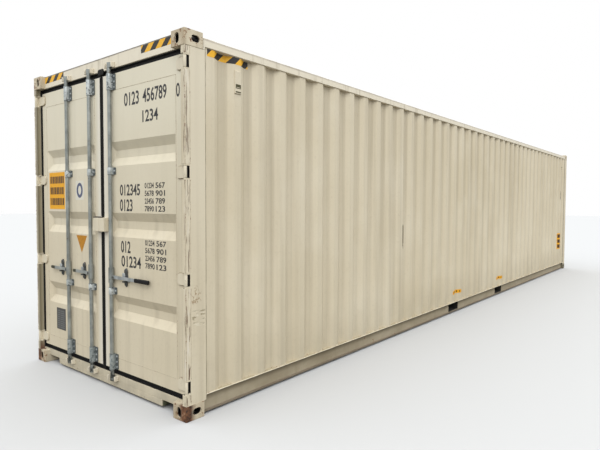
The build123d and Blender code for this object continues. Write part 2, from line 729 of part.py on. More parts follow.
def roof_corner_plates():
    """Doubling plates that wrap the inner corner of each top casting."""
    start = HEADER_BACK
    end = DOOR_END + ROOF_PLATE_LENGTH
    edge = POST_OUT - ROOF_SET_IN
    inner = POST_OUT - ROOF_PLATE_WIDTH
    with BuildPart() as plates:
        with BuildSketch(Plane.XY.offset(RAIL_TOP + ROOF_SHEET)):
            with BuildLine():
                Polyline(
                    (start, inner),
                    (end, inner),
                    (end, edge),
                    (DOOR_END + CASTING_LENGTH, edge),
                    (DOOR_END + CASTING_LENGTH, CASTING_IN),
                    (start, CASTING_IN),
                    (start, inner),
                )
            make_face()
        extrude(amount=ROOF_PLATE)
        mirror(about=Plane.XZ)
        mirror(about=Plane.YZ)
    plates.part.label = "roof_corner_plates"
    export_step(plates.part, "parts/roof_corner_plates.step")


def vents():
    """Small hollow covers high on the outer flats of both long walls, open below."""
    pitch = WALL_OUTER_FLAT + WALL_INNER_FLAT + 2 * WALL_SLOPE
    from_middle = (WALL_WAVES / 2 - VENT_WAVE) * pitch
    outer = SIDE - WALL_GAP
    base = TOP_RAIL_BASE - VENT_DROP
    with BuildPart() as covers:
        for sign in (-1, 1):
            middle = (WALL_START + WALL_END) / 2 + sign * from_middle
            block(
                (middle - VENT_LENGTH / 2, middle + VENT_LENGTH / 2),
                (outer, outer + VENT_PROUD),
                (base, base + VENT_HEIGHT),
            )
        chamfer(covers.faces().group_by(Axis.Y)[-1].edges(), VENT_BEVEL)
        for sign in (-1, 1):
            middle = (WALL_START + WALL_END) / 2 + sign * from_middle
            block(
                (middle - VENT_LENGTH / 2 + VENT_BEVEL, middle + VENT_LENGTH / 2 - VENT_BEVEL),
                (outer, outer + VENT_PROUD - VENT_SHELL),
                (base, base + VENT_HEIGHT - VENT_BEVEL),
                mode=Mode.SUBTRACT,
            )
        mirror(about=Plane.XZ)
    covers.part.label = "vents"
    export_step(covers.part, "parts/vents.step")


def hinge_lugs():
    """Two lugs for each hinge pin, welded into the post's notch."""
    pin_x = DOOR_END + PIN_SET_IN
    side = DOOR_END + SIDE_NOTCH_DEPTH
    back = DOOR_END + NOTCH_DEPTH
    with BuildPart() as lugs:
        for height in HINGE_HEIGHTS:
            for low in (height - NOTCH_HALF, height + NOTCH_HALF - LUG_THICKNESS):
                with BuildSketch(Plane.XY.offset(low)):
                    with Locations((pin_x, PIN_Y)):
                        Circle(KNUCKLE_RADIUS)
                    with BuildLine():
                        Polyline(
                            (pin_x, POST_OUT),
                            (side, POST_OUT),
                            (side, POST_OUT - POST_PLATE),
                            (back, POST_OUT - POST_PLATE),
                            (back, POST_IN),
                            (pin_x + KNUCKLE_RADIUS, POST_IN),
                            (pin_x - KNUCKLE_RADIUS, PIN_Y),
                            (pin_x, POST_OUT),
                        )
                    make_face()
                    with Locations((pin_x, PIN_Y)):
                        Circle(PIN_RADIUS + PIN_CLEARANCE, mode=Mode.SUBTRACT)
                extrude(amount=LUG_THICKNESS)
        mirror(about=Plane.XZ)
    lugs.part.label = "hinge_lugs"
    export_step(lugs.part, "parts/hinge_lugs.step")


def hinge_pins():
    """Pins through the lugs and the door blades."""
    pin_x = DOOR_END + PIN_SET_IN
    with BuildPart() as pins:
        for height in HINGE_HEIGHTS:
            with BuildSketch(Plane.XY.offset(height - NOTCH_HALF)):
                with Locations((pin_x, PIN_Y)):
                    Circle(PIN_RADIUS)
            extrude(amount=2 * NOTCH_HALF)
        mirror(about=Plane.XZ)
    pins.part.label = "hinge_pins"
    export_step(pins.part, "parts/hinge_pins.step")


def cam_keepers():
    """Pairs of ears on the header and the sill that hold each rod's cam between them."""
    half = CAM_REACH + KEEPER_GAP
    spots = [
        (DOOR_END + HEADER_FACE, ROD_TOP - CAM_HEIGHT),
        (DOOR_END + SILL_FACE, ROD_BASE),
    ]
    with BuildPart() as keepers:
        for face, base in spots:
            for rod in (LEFT_OUTER_ROD, LEFT_INNER_ROD, RIGHT_ROD):
                for side in (-1, 1):
                    with BuildSketch(Plane.XY.offset(base)) as outline:
                        with BuildLine():
                            Polyline(
                                (face, rod + side * KEEPER_FOOT),
                                (face, rod + side * (half + KEEPER_EAR)),
                                (DOOR_END + KEEPER_FRONT, rod + side * (half + KEEPER_EAR)),
                                (DOOR_END + KEEPER_FRONT, rod + side * half),
                                (face - KEEPER_FOOT_PLATE, rod + side * half),
                                (face - KEEPER_FOOT_PLATE, rod + side * KEEPER_FOOT),
                                (face, rod + side * KEEPER_FOOT),
                            )
                        make_face()
                        fillet(outline.vertices().group_by(Axis.X)[0], KEEPER_ROUND)
                    extrude(amount=CAM_HEIGHT)
    keepers.part.label = "cam_keepers"
    export_step(keepers.part, "parts/cam_keepers.step")


def door_frame(name, side):
    """Rectangular door frame of hollow stiles and cross tubes."""
    inner_edge = side * HALF_GAP
    outer_edge = side * DOOR_EDGE
    back = FACE_X + DOOR_DEPTH
    wall = DOOR_TUBE_WALL
    hollow = (FACE_X + wall, back - wall)
    with BuildPart() as frame:
        block((FACE_X, back), (inner_edge, outer_edge), (DOOR_BASE, DOOR_TOP))
        block(
            (FACE_X, back),
            (inner_edge + side * INNER_STILE, outer_edge - side * OUTER_STILE),
            (DOOR_BASE + BOTTOM_MEMBER, DOOR_TOP - TOP_MEMBER),
            mode=Mode.SUBTRACT,
        )
        across = (inner_edge + side * wall, inner_edge + side * (INNER_STILE - wall))
        block(hollow, across, (DOOR_BASE, DOOR_TOP), mode=Mode.SUBTRACT)
        across = (outer_edge - side * wall, outer_edge - side * (OUTER_STILE - wall))
        block(hollow, across, (DOOR_BASE, DOOR_TOP), mode=Mode.SUBTRACT)
        across = (inner_edge + side * INNER_STILE / 2, outer_edge - side * OUTER_STILE / 2)
        block(hollow, across, (DOOR_BASE + wall, DOOR_BASE + BOTTOM_MEMBER - wall), mode=Mode.SUBTRACT)
        block(hollow, across, (DOOR_TOP - TOP_MEMBER + wall, DOOR_TOP - wall), mode=Mode.SUBTRACT)
    frame.part.label = name
    export_step(frame.part, f"parts/{name}.step")


def trough(face, middle_y, length, middle_z, height, flat_height, depth, mode):
    """Pressed trough with sloping sides and ends."""
    with BuildSketch(Plane.YZ.offset(face)) as mouth:
        with Locations((middle_y, middle_z)):
            Rectangle(length, height)
    with BuildSketch(Plane.YZ.offset(face + depth)) as bed:
        with Locations((middle_y, middle_z)):
            Rectangle(length - 2 * TROUGH_END_SLOPE, flat_height)
    loft([mouth.sketch, bed.sketch], mode=mode)


def door_panel(name, side):
    """Door sheet between the frame members, pressed into troughs across it."""
    low = HALF_GAP + INNER_STILE
    high = DOOR_EDGE - OUTER_STILE
    middle_y = side * (low + high) / 2
    length = high - low - 2 * TROUGH_MARGIN
    with BuildPart() as panel:
        block(
            (FACE_X, FACE_X + PANEL_SHEET),
            (side * low, side * high),
            (DOOR_BASE + BOTTOM_MEMBER, DOOR_TOP - TOP_MEMBER),
        )
        for middle_z in TROUGH_CENTRES:
            trough(FACE_X + PANEL_SHEET, middle_y, length, middle_z,
                   TROUGH_HEIGHT, TROUGH_FLAT, TROUGH_DEPTH, Mode.ADD)
        for middle_z in TROUGH_CENTRES:
            trough(FACE_X, middle_y, length - 2 * PANEL_SHEET, middle_z,
                   TROUGH_HEIGHT - 2 * PANEL_SHEET, TROUGH_FLAT - 2 * PANEL_SHEET,
                   TROUGH_DEPTH, Mode.SUBTRACT)
    panel.part.label = name
    export_step(panel.part, f"parts/{name}.step")


def door_gasket(name, side):
    """Rubber seal all round a door, with two lips in the gap to the frame."""
    front = FACE_X + GASKET_SET_BACK
    back = front + GASKET_DEPTH
    base = SILL_TOP + GASKET_CLEARANCE
    top = TOP_CASTING_BASE - GASKET_CLEARANCE
    edge = POST_IN - GASKET_CLEARANCE
    with BuildPart() as gasket:
        block((front, back), (side * (HALF_GAP - SEAL_GAP), side * edge), (base, top))
        block((front, back), (side * HALF_GAP, side * DOOR_EDGE), (DOOR_BASE, DOOR_TOP), mode=Mode.SUBTRACT)
        groove = (front, front + GASKET_GROOVE)
        across = (side * HALF_GAP, side * (edge - GASKET_LIP))
        block(groove, across, (base + GASKET_LIP, DOOR_BASE - GASKET_LIP), mode=Mode.SUBTRACT)
        block(groove, across, (DOOR_TOP + GASKET_LIP, top - GASKET_LIP), mode=Mode.SUBTRACT)
        across = (side * (DOOR_EDGE + GASKET_LIP), side * (edge - GASKET_LIP))
        block(groove, across, (base + GASKET_LIP, top - GASKET_LIP), mode=Mode.SUBTRACT)
    gasket.part.label = name
    export_step(gasket.part, f"parts/{name}.step")


def hinge_blades(name, side):
    """Flat blades from the door's edge, bent forward at their ends round the hinge pins."""
    pin_x = DOOR_END + PIN_SET_IN
    mid_x = FACE_X - BLADE_THICKNESS / 2
    bend = PIN_Y - BEND_OFFSET
    flat = bend - DOOR_EDGE + BLADE_LAP
    with BuildPart() as blades:
        for height in HINGE_HEIGHTS:
            with BuildSketch(Plane.XY.offset(height - BLADE_HEIGHT / 2)):
                with Locations((pin_x, side * PIN_Y)):
                    Circle(KNUCKLE_RADIUS)
                with Locations((mid_x, side * bend)):
                    Circle(BLADE_THICKNESS / 2)
                make_hull()
                with Locations((mid_x, side * (bend - flat / 2))):
                    Rectangle(BLADE_THICKNESS, flat)
                with Locations((pin_x, side * PIN_Y)):
                    Circle(PIN_RADIUS + PIN_CLEARANCE, mode=Mode.SUBTRACT)
            extrude(amount=BLADE_HEIGHT)
        free_end = blades.edges().filter_by(Axis.X).group_by(Axis.Y)[0 if side > 0 else -1]
        fillet(free_end, BLADE_ROUND)
    blades.part.label = name
    export_step(blades.part, f"parts/{name}.step")


def rod_guides(name, rods):
    """Saddles on a door that carry its lock rods."""
    low_guide = DOOR_BASE + LOW_GUIDE_GAP
    high_guide = DOOR_TOP - HIGH_GUIDE_GAP
    spans = [(low_guide, low_guide + END_GUIDE), (high_guide - END_GUIDE, high_guide)]
    widths = [END_GUIDE_WIDTH, END_GUIDE_WIDTH]
    for middle in (LOW_SMALL_GUIDE, DOOR_TOP - HIGH_SMALL_GUIDE):
        spans.append((middle - SMALL_GUIDE / 2, middle + SMALL_GUIDE / 2))
        widths.append(SMALL_GUIDE_WIDTH)
    bore = ROD_RADIUS + ROD_CLEARANCE
    outer = bore + GUIDE_WALL
    with BuildPart() as guides:
        for rod in rods:
            for (low, high), width in zip(spans, widths):
                with BuildSketch(Plane.XY.offset(low)):
                    with Locations((ROD_X, rod)):
                        Circle(outer)
                    with Locations(((ROD_X + FACE_X) / 2, rod)):
                        Rectangle(FACE_X - ROD_X, 2 * outer)
                    with Locations((ROD_X, rod)):
                        Circle(bore, mode=Mode.SUBTRACT)
                extrude(amount=high - low)
                with BuildSketch(Plane.YZ.offset(FACE_X - GUIDE_PAD)):
                    with Locations((rod, (low + high) / 2)):
                        RectangleRounded(width, high - low, GUIDE_ROUND)
                extrude(amount=GUIDE_PAD)
    guides.part.label = name
    export_step(guides.part, f"parts/{name}.step")


def handle_retainers(name, side):
    """Leaf-shaped plates on the door with a shelf under each handle and a catch above it."""
    plate_x = FACE_X - RETAINER_PLATE
    shelf_front = ROD_X - HANDLE_THICKNESS
    catch_front = ROD_X + HANDLE_THICKNESS / 2 + CATCH_CLEARANCE
    shelf_top = HANDLE_HEIGHT - HANDLE_WIDTH / 2 - SHELF_CLEARANCE
    middle = HANDLE_HEIGHT + RETAINER_LIFT
    tip = RETAINER_HEIGHT / 2 - RETAINER_TIP
    catch_top = middle + RETAINER_HEIGHT / 2
    with BuildPart() as retainers:
        for spot in RETAINERS[side]:
            with BuildSketch(Plane.YZ.offset(plate_x)):
                with Locations((spot, middle)):
                    Circle(RETAINER_WIDTH / 2)
                with Locations((spot, middle - tip), (spot, middle + tip)):
                    Circle(RETAINER_TIP)
                make_hull()
            extrude(amount=RETAINER_PLATE)
            shelf = (spot - SHELF_WIDTH / 2, spot + SHELF_WIDTH / 2)
            catch = (spot - RETAINER_TIP, spot + RETAINER_TIP)
            block((shelf_front, plate_x), shelf, (shelf_top - SHELF_THICKNESS, shelf_top))
            block((catch_front, plate_x), catch, (catch_top - CATCH_HEIGHT, catch_top - RETAINER_TIP))
    retainers.part.label = name
    export_step(retainers.part, f"parts/{name}.step")


def lock_box_half(name, side):
    """Half of the padlock box over the centre gap, open below and at the gap."""
    inner = side * BOX_GAP / 2
    outer = side * BOX_HALF_WIDTH
    with BuildPart() as box:
        block((FACE_X - BOX_PROUD, FACE_X), (inner, outer), (BOX_BASE, BOX_BASE + BOX_HEIGHT))
        block(
            (FACE_X - BOX_PROUD + BOX_WALL, FACE_X),
            (inner, outer - side * BOX_WALL),
            (BOX_BASE, BOX_BASE + BOX_HEIGHT - BOX_WALL),
            mode=Mode.SUBTRACT,
        )
    box.part.label = name
    export_step(box.part, f"parts/{name}.step")


def lock_rod(name, rod, turn):
    """Tube with a cam at each end and a hub whose ears carry the handle."""
    pivot = rod + turn * HANDLE_PIVOT
    inner_face = HANDLE_THICKNESS / 2 + EAR_GAP
    outer_face = inner_face + EAR_THICKNESS
    with BuildPart() as tube:
        with BuildSketch(Plane.XY.offset(ROD_BASE)):
            with Locations((ROD_X, rod)):
                Circle(ROD_RADIUS)
        extrude(amount=ROD_TOP - ROD_BASE)
        for base in (ROD_BASE, ROD_TOP - CAM_HEIGHT):
            with BuildSketch(Plane.XY.offset(base)):
                with Locations((ROD_X, rod)):
                    Circle(CAM_COLLAR)
                with Locations((ROD_X, rod + turn * (CAM_REACH - CAM_LOBE_RADIUS))):
                    Circle(CAM_LOBE_RADIUS)
                make_hull()
            extrude(amount=CAM_HEIGHT)
        with BuildSketch(Plane.XY.offset(HANDLE_HEIGHT + HUB_LIFT - HUB_HEIGHT / 2)):
            with Locations((ROD_X, rod)):
                Circle(HUB_RADIUS)
        extrude(amount=HUB_HEIGHT)
        with BuildSketch(Plane.YZ.offset(ROD_X - outer_face)):
            with Locations((pivot, HANDLE_HEIGHT)):
                Circle(EAR_RADIUS)
            with Locations(((pivot + rod) / 2, HANDLE_HEIGHT)):
                Rectangle(HANDLE_PIVOT, 2 * EAR_RADIUS)
        extrude(amount=2 * outer_face)
        block(
            (ROD_X - inner_face, ROD_X + inner_face),
            (rod + turn * HUB_RADIUS, pivot + turn * 2 * EAR_RADIUS),
            (HANDLE_HEIGHT - HUB_HEIGHT / 2, HANDLE_HEIGHT + HUB_HEIGHT / 2),
            mode=Mode.SUBTRACT,
        )
        with BuildSketch(Plane.XY.offset(ROD_BASE)):
            with Locations((ROD_X, rod)):
                Circle(ROD_RADIUS - ROD_WALL)
        extrude(amount=ROD_TOP - ROD_BASE, mode=Mode.SUBTRACT)
        with BuildSketch(Plane.YZ.offset(ROD_X - outer_face)):
            with Locations((pivot, HANDLE_HEIGHT)):
                Circle(PIVOT_RADIUS)
        extrude(amount=2 * outer_face)
    tube.part.label = name
    export_step(tube.part, f"parts/{name}.step")


def handle(name, rod, turn, tip):
    """Flat handle with an eye on the hub's pivot and a rounded tip."""
    pivot = rod + turn * HANDLE_PIVOT
    with BuildPart() as lever:
        with BuildSketch(Plane.YZ.offset(ROD_X - HANDLE_THICKNESS / 2)):
            with Locations((pivot, HANDLE_HEIGHT)):
                Circle(HANDLE_WIDTH / 2)
            with Locations((tip - turn * HANDLE_WIDTH / 2, HANDLE_HEIGHT)):
                Circle(HANDLE_WIDTH / 2)
            make_hull()
            with Locations((pivot, HANDLE_HEIGHT)):
                Circle(PIVOT_RADIUS + PIVOT_CLEARANCE, mode=Mode.SUBTRACT)
        extrude(amount=HANDLE_THICKNESS)
    lever.part.label = name
    export_step(lever.part, f"parts/{name}.step")


def handle_grip():
    """Rubber sleeve over the outer part of the right handle."""
    start = RIGHT_HANDLE_TIP + GRIP_LENGTH
    end = RIGHT_HANDLE_TIP - GRIP_END
    with BuildPart() as grip:
        block(
            (ROD_X - GRIP_THICKNESS / 2, ROD_X + GRIP_THICKNESS / 2),
            (end, start),
            (HANDLE_HEIGHT - GRIP_HEIGHT / 2, HANDLE_HEIGHT + GRIP_HEIGHT / 2),
        )
        fillet(grip.edges().filter_by(Axis.Y), GRIP_THICKNESS / 3)
        block(
            (ROD_X - HANDLE_THICKNESS / 2, ROD_X + HANDLE_THICKNESS / 2),
            (RIGHT_HANDLE_TIP, start),
            (HANDLE_HEIGHT - HANDLE_WIDTH / 2, HANDLE_HEIGHT + HANDLE_WIDTH / 2),
            mode=Mode.SUBTRACT,
        )
    grip.part.label = "handle_grip"
    export_step(grip.part, "parts/handle_grip.step")


corner_castings("bottom_corner_castings", 0, -1)
corner_castings("top_corner_castings", TOP_CASTING_BASE, 1)
rear_posts()
front_posts()
door_header()
door_sill()
front_rails()
top_side_rails()
bottom_side_rails()
pocket_rail_sections()
side_wall("left_side_wall", 1)
side_wall("right_side_wall", -1)
front_wall()
roof_panel()
roof_corner_plates()
floor_boards()
cross_members()
forklift_pockets()
gooseneck_tunnel()
vents()
hinge_lugs()
hinge_pins()
cam_keepers()
door_frame("left_door_frame", 1)
door_frame("right_door_frame", -1)
door_panel("left_door_panel", 1)
door_panel("right_door_panel", -1)
door_gasket("left_door_gasket", 1)
door_gasket("right_door_gasket", -1)
hinge_blades("left_hinge_blades", 1)
hinge_blades("right_hinge_blades", -1)
rod_guides("left_rod_guides", [LEFT_OUTER_ROD, LEFT_INNER_ROD])
rod_guides("right_rod_guides", [RIGHT_ROD])
handle_retainers("left_handle_retainers", "left")
handle_retainers("right_handle_retainer", "right")
lock_box_half("left_lock_box", 1)
lock_box_half("right_lock_box", -1)
lock_rod("left_outer_rod", LEFT_OUTER_ROD, 1)
lock_rod("left_inner_rod", LEFT_INNER_ROD, 1)
lock_rod("right_rod", RIGHT_ROD, -1)
handle("left_outer_handle", LEFT_OUTER_ROD, 1, OUTER_HANDLE_TIP)
handle("left_inner_handle", LEFT_INNER_ROD, 1, INNER_HANDLE_TIP)
handle("right_handle", RIGHT_ROD, -1, RIGHT_HANDLE_TIP)
handle_grip()
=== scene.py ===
import json
from math import cos, pi, radians, sin
import random

import bmesh
import bpy
from mathutils import Matrix, Vector


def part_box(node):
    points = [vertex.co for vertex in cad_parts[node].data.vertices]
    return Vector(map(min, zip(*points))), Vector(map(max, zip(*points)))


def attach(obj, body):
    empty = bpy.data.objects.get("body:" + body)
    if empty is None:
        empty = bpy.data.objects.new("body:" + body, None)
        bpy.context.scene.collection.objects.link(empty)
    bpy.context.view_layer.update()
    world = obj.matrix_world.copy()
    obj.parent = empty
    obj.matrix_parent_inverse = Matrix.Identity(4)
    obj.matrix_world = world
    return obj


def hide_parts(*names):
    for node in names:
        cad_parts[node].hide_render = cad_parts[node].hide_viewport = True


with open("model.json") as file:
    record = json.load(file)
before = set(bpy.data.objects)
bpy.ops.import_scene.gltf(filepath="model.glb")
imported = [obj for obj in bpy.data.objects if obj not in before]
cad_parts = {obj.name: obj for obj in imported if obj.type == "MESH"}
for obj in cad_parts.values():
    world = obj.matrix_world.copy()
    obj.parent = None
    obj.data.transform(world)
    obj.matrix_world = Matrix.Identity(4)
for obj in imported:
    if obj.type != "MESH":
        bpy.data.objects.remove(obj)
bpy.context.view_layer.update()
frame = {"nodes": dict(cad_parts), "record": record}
random.seed(12)


def joint_place(name):
    """Where the record puts a joint, in metres."""
    for joint in frame["record"]["behaviour"]["joints"]:
        if joint["name"] == name:
            return Vector(joint["pos_m"])


def box_of(node):
    """Low and high corner of a CAD node, in metres."""
    return [Vector(corner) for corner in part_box(node)]


# Places that the CAD model sets, in metres
DOOR_FACE, _, DOOR_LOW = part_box("left_door_frame")[0]
_, DOOR_EDGE, DOOR_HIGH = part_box("left_door_frame")[1]
PANEL_LOW, PANEL_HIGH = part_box("left_door_panel")
HEADER_FACE, _, HEADER_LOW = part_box("door_header")[0]
HEADER_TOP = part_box("door_header")[1][2]
SILL_LOW, SILL_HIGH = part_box("door_sill")
RAIL_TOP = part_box("bottom_side_rails")[1][2]
WALL_LOW, WALL_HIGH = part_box("left_side_wall")
WALL_FACE = WALL_HIGH[1]
POST_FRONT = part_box("rear_posts")[0][0]
POST_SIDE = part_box("rear_posts")[1][1]
CASTING_LOW, CASTING_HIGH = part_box("top_corner_castings")
HINGE_PIN = joint_place("left_door_hinge")
RODS = {
    "left_outer": ("left_door", joint_place("left_outer_rod_turn")),
    "left_inner": ("left_door", joint_place("left_inner_rod_turn")),
    "right": ("right_door", joint_place("right_rod_turn")),
}
DOORS = (("left", 1), ("right", -1))
SIDES = (-1, 1)


def both(*names):
    """Nodes that the left and the right half have alike."""
    return [f"{half}_{name}" for half, _ in DOORS for name in names]



# Sizes that the CAD model has too
HINGES = (0.256, 1.0577, 1.8593, 2.661)
LUG_HALF = 0.0575
BLADE_HALF = 0.0425
BLADE_END = DOOR_EDGE - 0.066
BLADE_ROUND = 0.030
PLATE_FACE = DOOR_FACE - 0.006
END_GUIDE = 0.136
END_GUIDE_INSET = 0.004
SMALL_GUIDES = (0.868, 1.905)
SMALL_GUIDE_HALF = 0.030
HUB = (0.941, 1.071)
CASTING = (0.178, 0.162, 0.118)
CASTING_END = CASTING_HIGH[0] - CASTING[0]
CASTING_INNER = CASTING_HIGH[1] - CASTING[1]
POST_RETURN = POST_SIDE - 0.046
POST_DEPTH = 0.191
KEEPER_HEIGHT = 0.042
KEEPER_HALF = 0.056
SILL_END = 0.861
SILL_CUT = 0.067
WALL_CREST = 0.072
WALL_VALLEY = 0.070
WALL_SLOPE = 0.068
WALL_SHEET = 0.002
WALL_END_FLAT = 0.090
VENT_LENGTH = 0.070
BOARD_WIDTH = 1.22

# Thickness of film and stencil paint
FILM = 0.0006

# Angle below which shading runs smoothly over an edge
SMOOTH_TURNED = 40
SMOOTH_WELD = 60

# Light from the sky and a soft sun, and the floor as lamps and as the camera see it
SKY_COLOUR = (0.97, 0.99, 1, 1)
SKY_HORIZON = 0.72
SKY_ZENITH = 2.1
SUN_AHEAD = (0.55, 0.62, -0.75)
SUN_STRENGTH = 1.0
SUN_ANGLE = 35
FLOOR_SIZE = 160
FLOOR_HEIGHT = -0.002
FLOOR_BOUNCE = (0.20, 0.19, 0.17, 1)
FLOOR_SEEN = (0.52, 0.52, 0.52, 1)
WHITE = (1, 1, 1, 1)

# Camera, fitted to the container's corners in the photo
CAMERA_PLACE = (-8.4388, -4.2099, 1.6244)
CAMERA_YAW = 39.1998
CAMERA_PITCH = -2.3285
CAMERA_ROLL = 0.2067
CAMERA_LENS = 30.505
CAMERA_SENSOR = 36
CAMERA_REACH = 200

# 8-bit screen colours that several finishes share
BEIGE = (212, 201, 177)
BEIGE_DARK = (203, 191, 165)
BEIGE_PALE = (220, 211, 190)
RUST = (126, 80, 52)
RUST_DARK = (84, 54, 40)
# Grime tone, also laid as painted shade in the wall's valleys
GRIME_AND_SHADE = (132, 119, 94)
# Near black of painted shade in knuckles, hollows and cavities
SHADE_BLACK = (24, 20, 17)

# Plain paints: colour laid over the beige, its share, scale and limit of the rust, roughness
PLAIN_PAINTS = {
    "beige_paint": (BEIGE, 0.0, 30.0, 0.735),
    "keeper_paint": ((228, 220, 202), 0.6, 50.0, 0.62, 0.55, 0.75),
    "weld_paint": (GRIME_AND_SHADE, 0.35, 40.0, 0.57),
}

# Zinc coats: dark tone, bright tone, where stains start, and the share of dark blotches below the
# door
ZINCS = {
    "dull_zinc": ((126, 131, 129), (172, 176, 172), 0.66, 0.0),
    "rod_zinc": ((126, 131, 129), (172, 176, 172), 0.66, 0.85),
    "dark_zinc": ((62, 65, 66), (100, 102, 102), 0.60, 0.0),
    "bright_zinc": ((160, 166, 168), (204, 208, 208), 0.66, 0.0),
}

# Rubbers: dark and pale tone
RUBBERS = {
    "seal_rubber": ((14, 14, 14), (27, 26, 25)),
    "grip_rubber": ((16, 16, 17), (30, 29, 29)),
}

# Hazard films: axis that they run along and its sign, the bars' pitch and shift
HAZARDS = {"hazard_front": (1, -1, 0.148, 0.02), "hazard_side": (0, 1, 0.150, 0.0)}

# Films, stencil paints and shaded places: tone, worn tone, and roughness unless it is 0.5
FILMS = {
    # Painted shade at the ends of the sill by the sling recesses
    "recess_shade": ((88, 92, 70), (112, 110, 86), 0.8),
    "foot_trim": ((216, 207, 184), (178, 166, 136), 0.7),
    "edge_shade": ((112, 106, 92), (140, 132, 114), 0.8),
    "groove_shade": ((120, 110, 86), (150, 138, 112), 0.8),
    "box_shade": ((36, 32, 28), (70, 62, 52), 0.8),
    "stencil_black": ((34, 34, 38), (112, 106, 98)),
    "amber_film": ((232, 166, 0), (206, 140, 10)),
    "ochre_film": ((184, 124, 4), (120, 80, 16)),
    "bar_print": ((72, 46, 18), (104, 72, 26)),
    "white_film": ((216, 212, 198), (206, 200, 184)),
    "blue_print": ((78, 84, 112), (110, 114, 134)),
    "plate_grey": ((72, 72, 72), (96, 94, 90), 0.4),
    "plate_print": ((104, 106, 106), (88, 88, 86), 0.4),
    # Painted shade in the mouths of the vents
    "vent_shade": ((78, 74, 50), (104, 98, 70), 0.9),
}

# CAD nodes whose finish differs from their slot's
OWN_FINISH = {
    "wall_paint": both("side_wall") + ["front_wall"],
    "post_paint": ["rear_posts"],
    "rail_paint": ["bottom_side_rails", "pocket_rail_sections", "front_bottom_rail"],
    "sill_paint": ["door_sill"],
    "keeper_paint": ["cam_keepers"],
    "header_paint": ["door_header", "top_side_rails", "front_top_rail"],
    "door_paint": both("door_frame", "door_panel"),
    "blade_paint": both("hinge_blades", "lock_box"),
    "guide_metal": both("rod_guides"),
    "rod_zinc": ["left_outer_rod", "left_inner_rod", "right_rod"],
    "bright_zinc": ["right_handle"],
    "handle_metal": ["left_outer_handle", "left_inner_handle"],
    "dark_zinc": ["left_handle_retainers", "right_handle_retainer"],
}

# Slots whose finish has another name, and slots of the finishes that aren't beige
SLOT_FINISHES = {"zinc": "dull_zinc", "underframe_paint": "underframe_coat"}
FINISH_SLOTS = {
    "dark_zinc": "zinc",
    "bright_zinc": "zinc",
    "seal_rubber": "seal_rubber",
    "grip_rubber": "grip_rubber",
}

# Bevels of the CAD nodes' edges
BEVELS = {
    0.004: ["top_side_rails", "front_top_rail"],
    0.003: ["rear_posts", "front_posts", "door_header", "door_sill"]
    + both("hinge_blades", "lock_box"),
    0.002: [
        "bottom_side_rails", "pocket_rail_sections", "front_bottom_rail", "left_outer_handle",
        "left_inner_handle", "right_handle", "top_corner_castings", "bottom_corner_castings",
        "cam_keepers",
    ] + both("door_frame"),
    0.0015: ["left_handle_retainers", "right_handle_retainer"],
    0.001: both("rod_guides"),
}

# Scuffs on the right wall: place along it, foot and head
WALL_SCUFFS = ((-2.67, 1.09, 1.355), (5.54, 1.784, 1.959))

# Digits on the right door: text, left and right edge, foot and head
DIGITS = (
    ("0123", -0.355, -0.570, 2.435, 2.545),
    ("456789", -0.622, -0.939, 2.435, 2.545),
    ("0", -1.055, -1.100, 2.424, 2.529),
    ("1234", -0.617, -0.827, 2.280, 2.376),
    ("012345", -0.279, -0.574, 1.692, 1.787),
    ("0123", -0.277, -0.465, 1.560, 1.662),
    ("012", -0.285, -0.430, 1.208, 1.310),
    ("01234", -0.290, -0.579, 1.088, 1.185),
)

# Small digits in two blocks, each with its head, left and right edge
SMALL_BLOCKS = ((1.793, -0.640, -0.910), (1.331, -0.640, -0.920))
SMALL_ROWS = (("01234", "567"), ("5678", "901"), ("23456", "789"), ("7890", "123"))
SMALL_HEIGHT = 0.045
SMALL_PITCH = 0.062
SMALL_GAP_HALF = 0.012

# Labels on the left door: width and height, and their middle (y, z)
AMBER_SIZE, AMBER_PLACE = (0.315, 0.362), (0.8525, 1.750)
WHITE_SIZE, WHITE_PLACE = (0.150, 0.180), (0.4055, 1.7485)
PLATE_SIZE, PLATE_PLACE = (0.181, 0.215), (0.8045, 0.4755)
PLATE_THICKNESS = 0.0012

# Labels on the right wall beside the fork pockets: their ends nearest the doors, and height
POCKET_LABELS = (-1.135, 0.815)
POCKET_LABEL_LENGTH = 0.325


def screen_colour(channels):
    """Linear colour of an 8-bit screen colour."""
    parts = [channel / 255 for channel in channels]
    return (*(p / 12.92 if p <= 0.04045 else ((p + 0.055) / 1.055) ** 2.4 for p in parts), 1.0)


class Nodes:
    """Short forms for building a node tree."""

    def __init__(self, owner):
        owner.use_nodes = True
        self.tree = owner.node_tree

    def fill(self, socket, value):
        """Feeds a socket from another one, or with a number, a vector or a colour."""
        if isinstance(value, bpy.types.NodeSocket):
            self.tree.links.new(value, socket)
        elif socket.type == "RGBA" and len(value) == 3:
            socket.default_value = screen_colour(value)
        else:
            socket.default_value = value

    def node(self, kind, inputs, output=0, **settings):
        """Adds a node and gives one of its outputs."""
        node = self.tree.nodes.new(f"ShaderNode{kind}")
        for name, value in settings.items():
            setattr(node, name, value)
        for name, value in inputs.items():
            self.fill(node.inputs[name], value)
        return node.outputs[output]

    def math(self, kind, first, second=0.0):
        return self.node("Math", {0: first, 1: second}, operation=kind)


FINISHES = {}


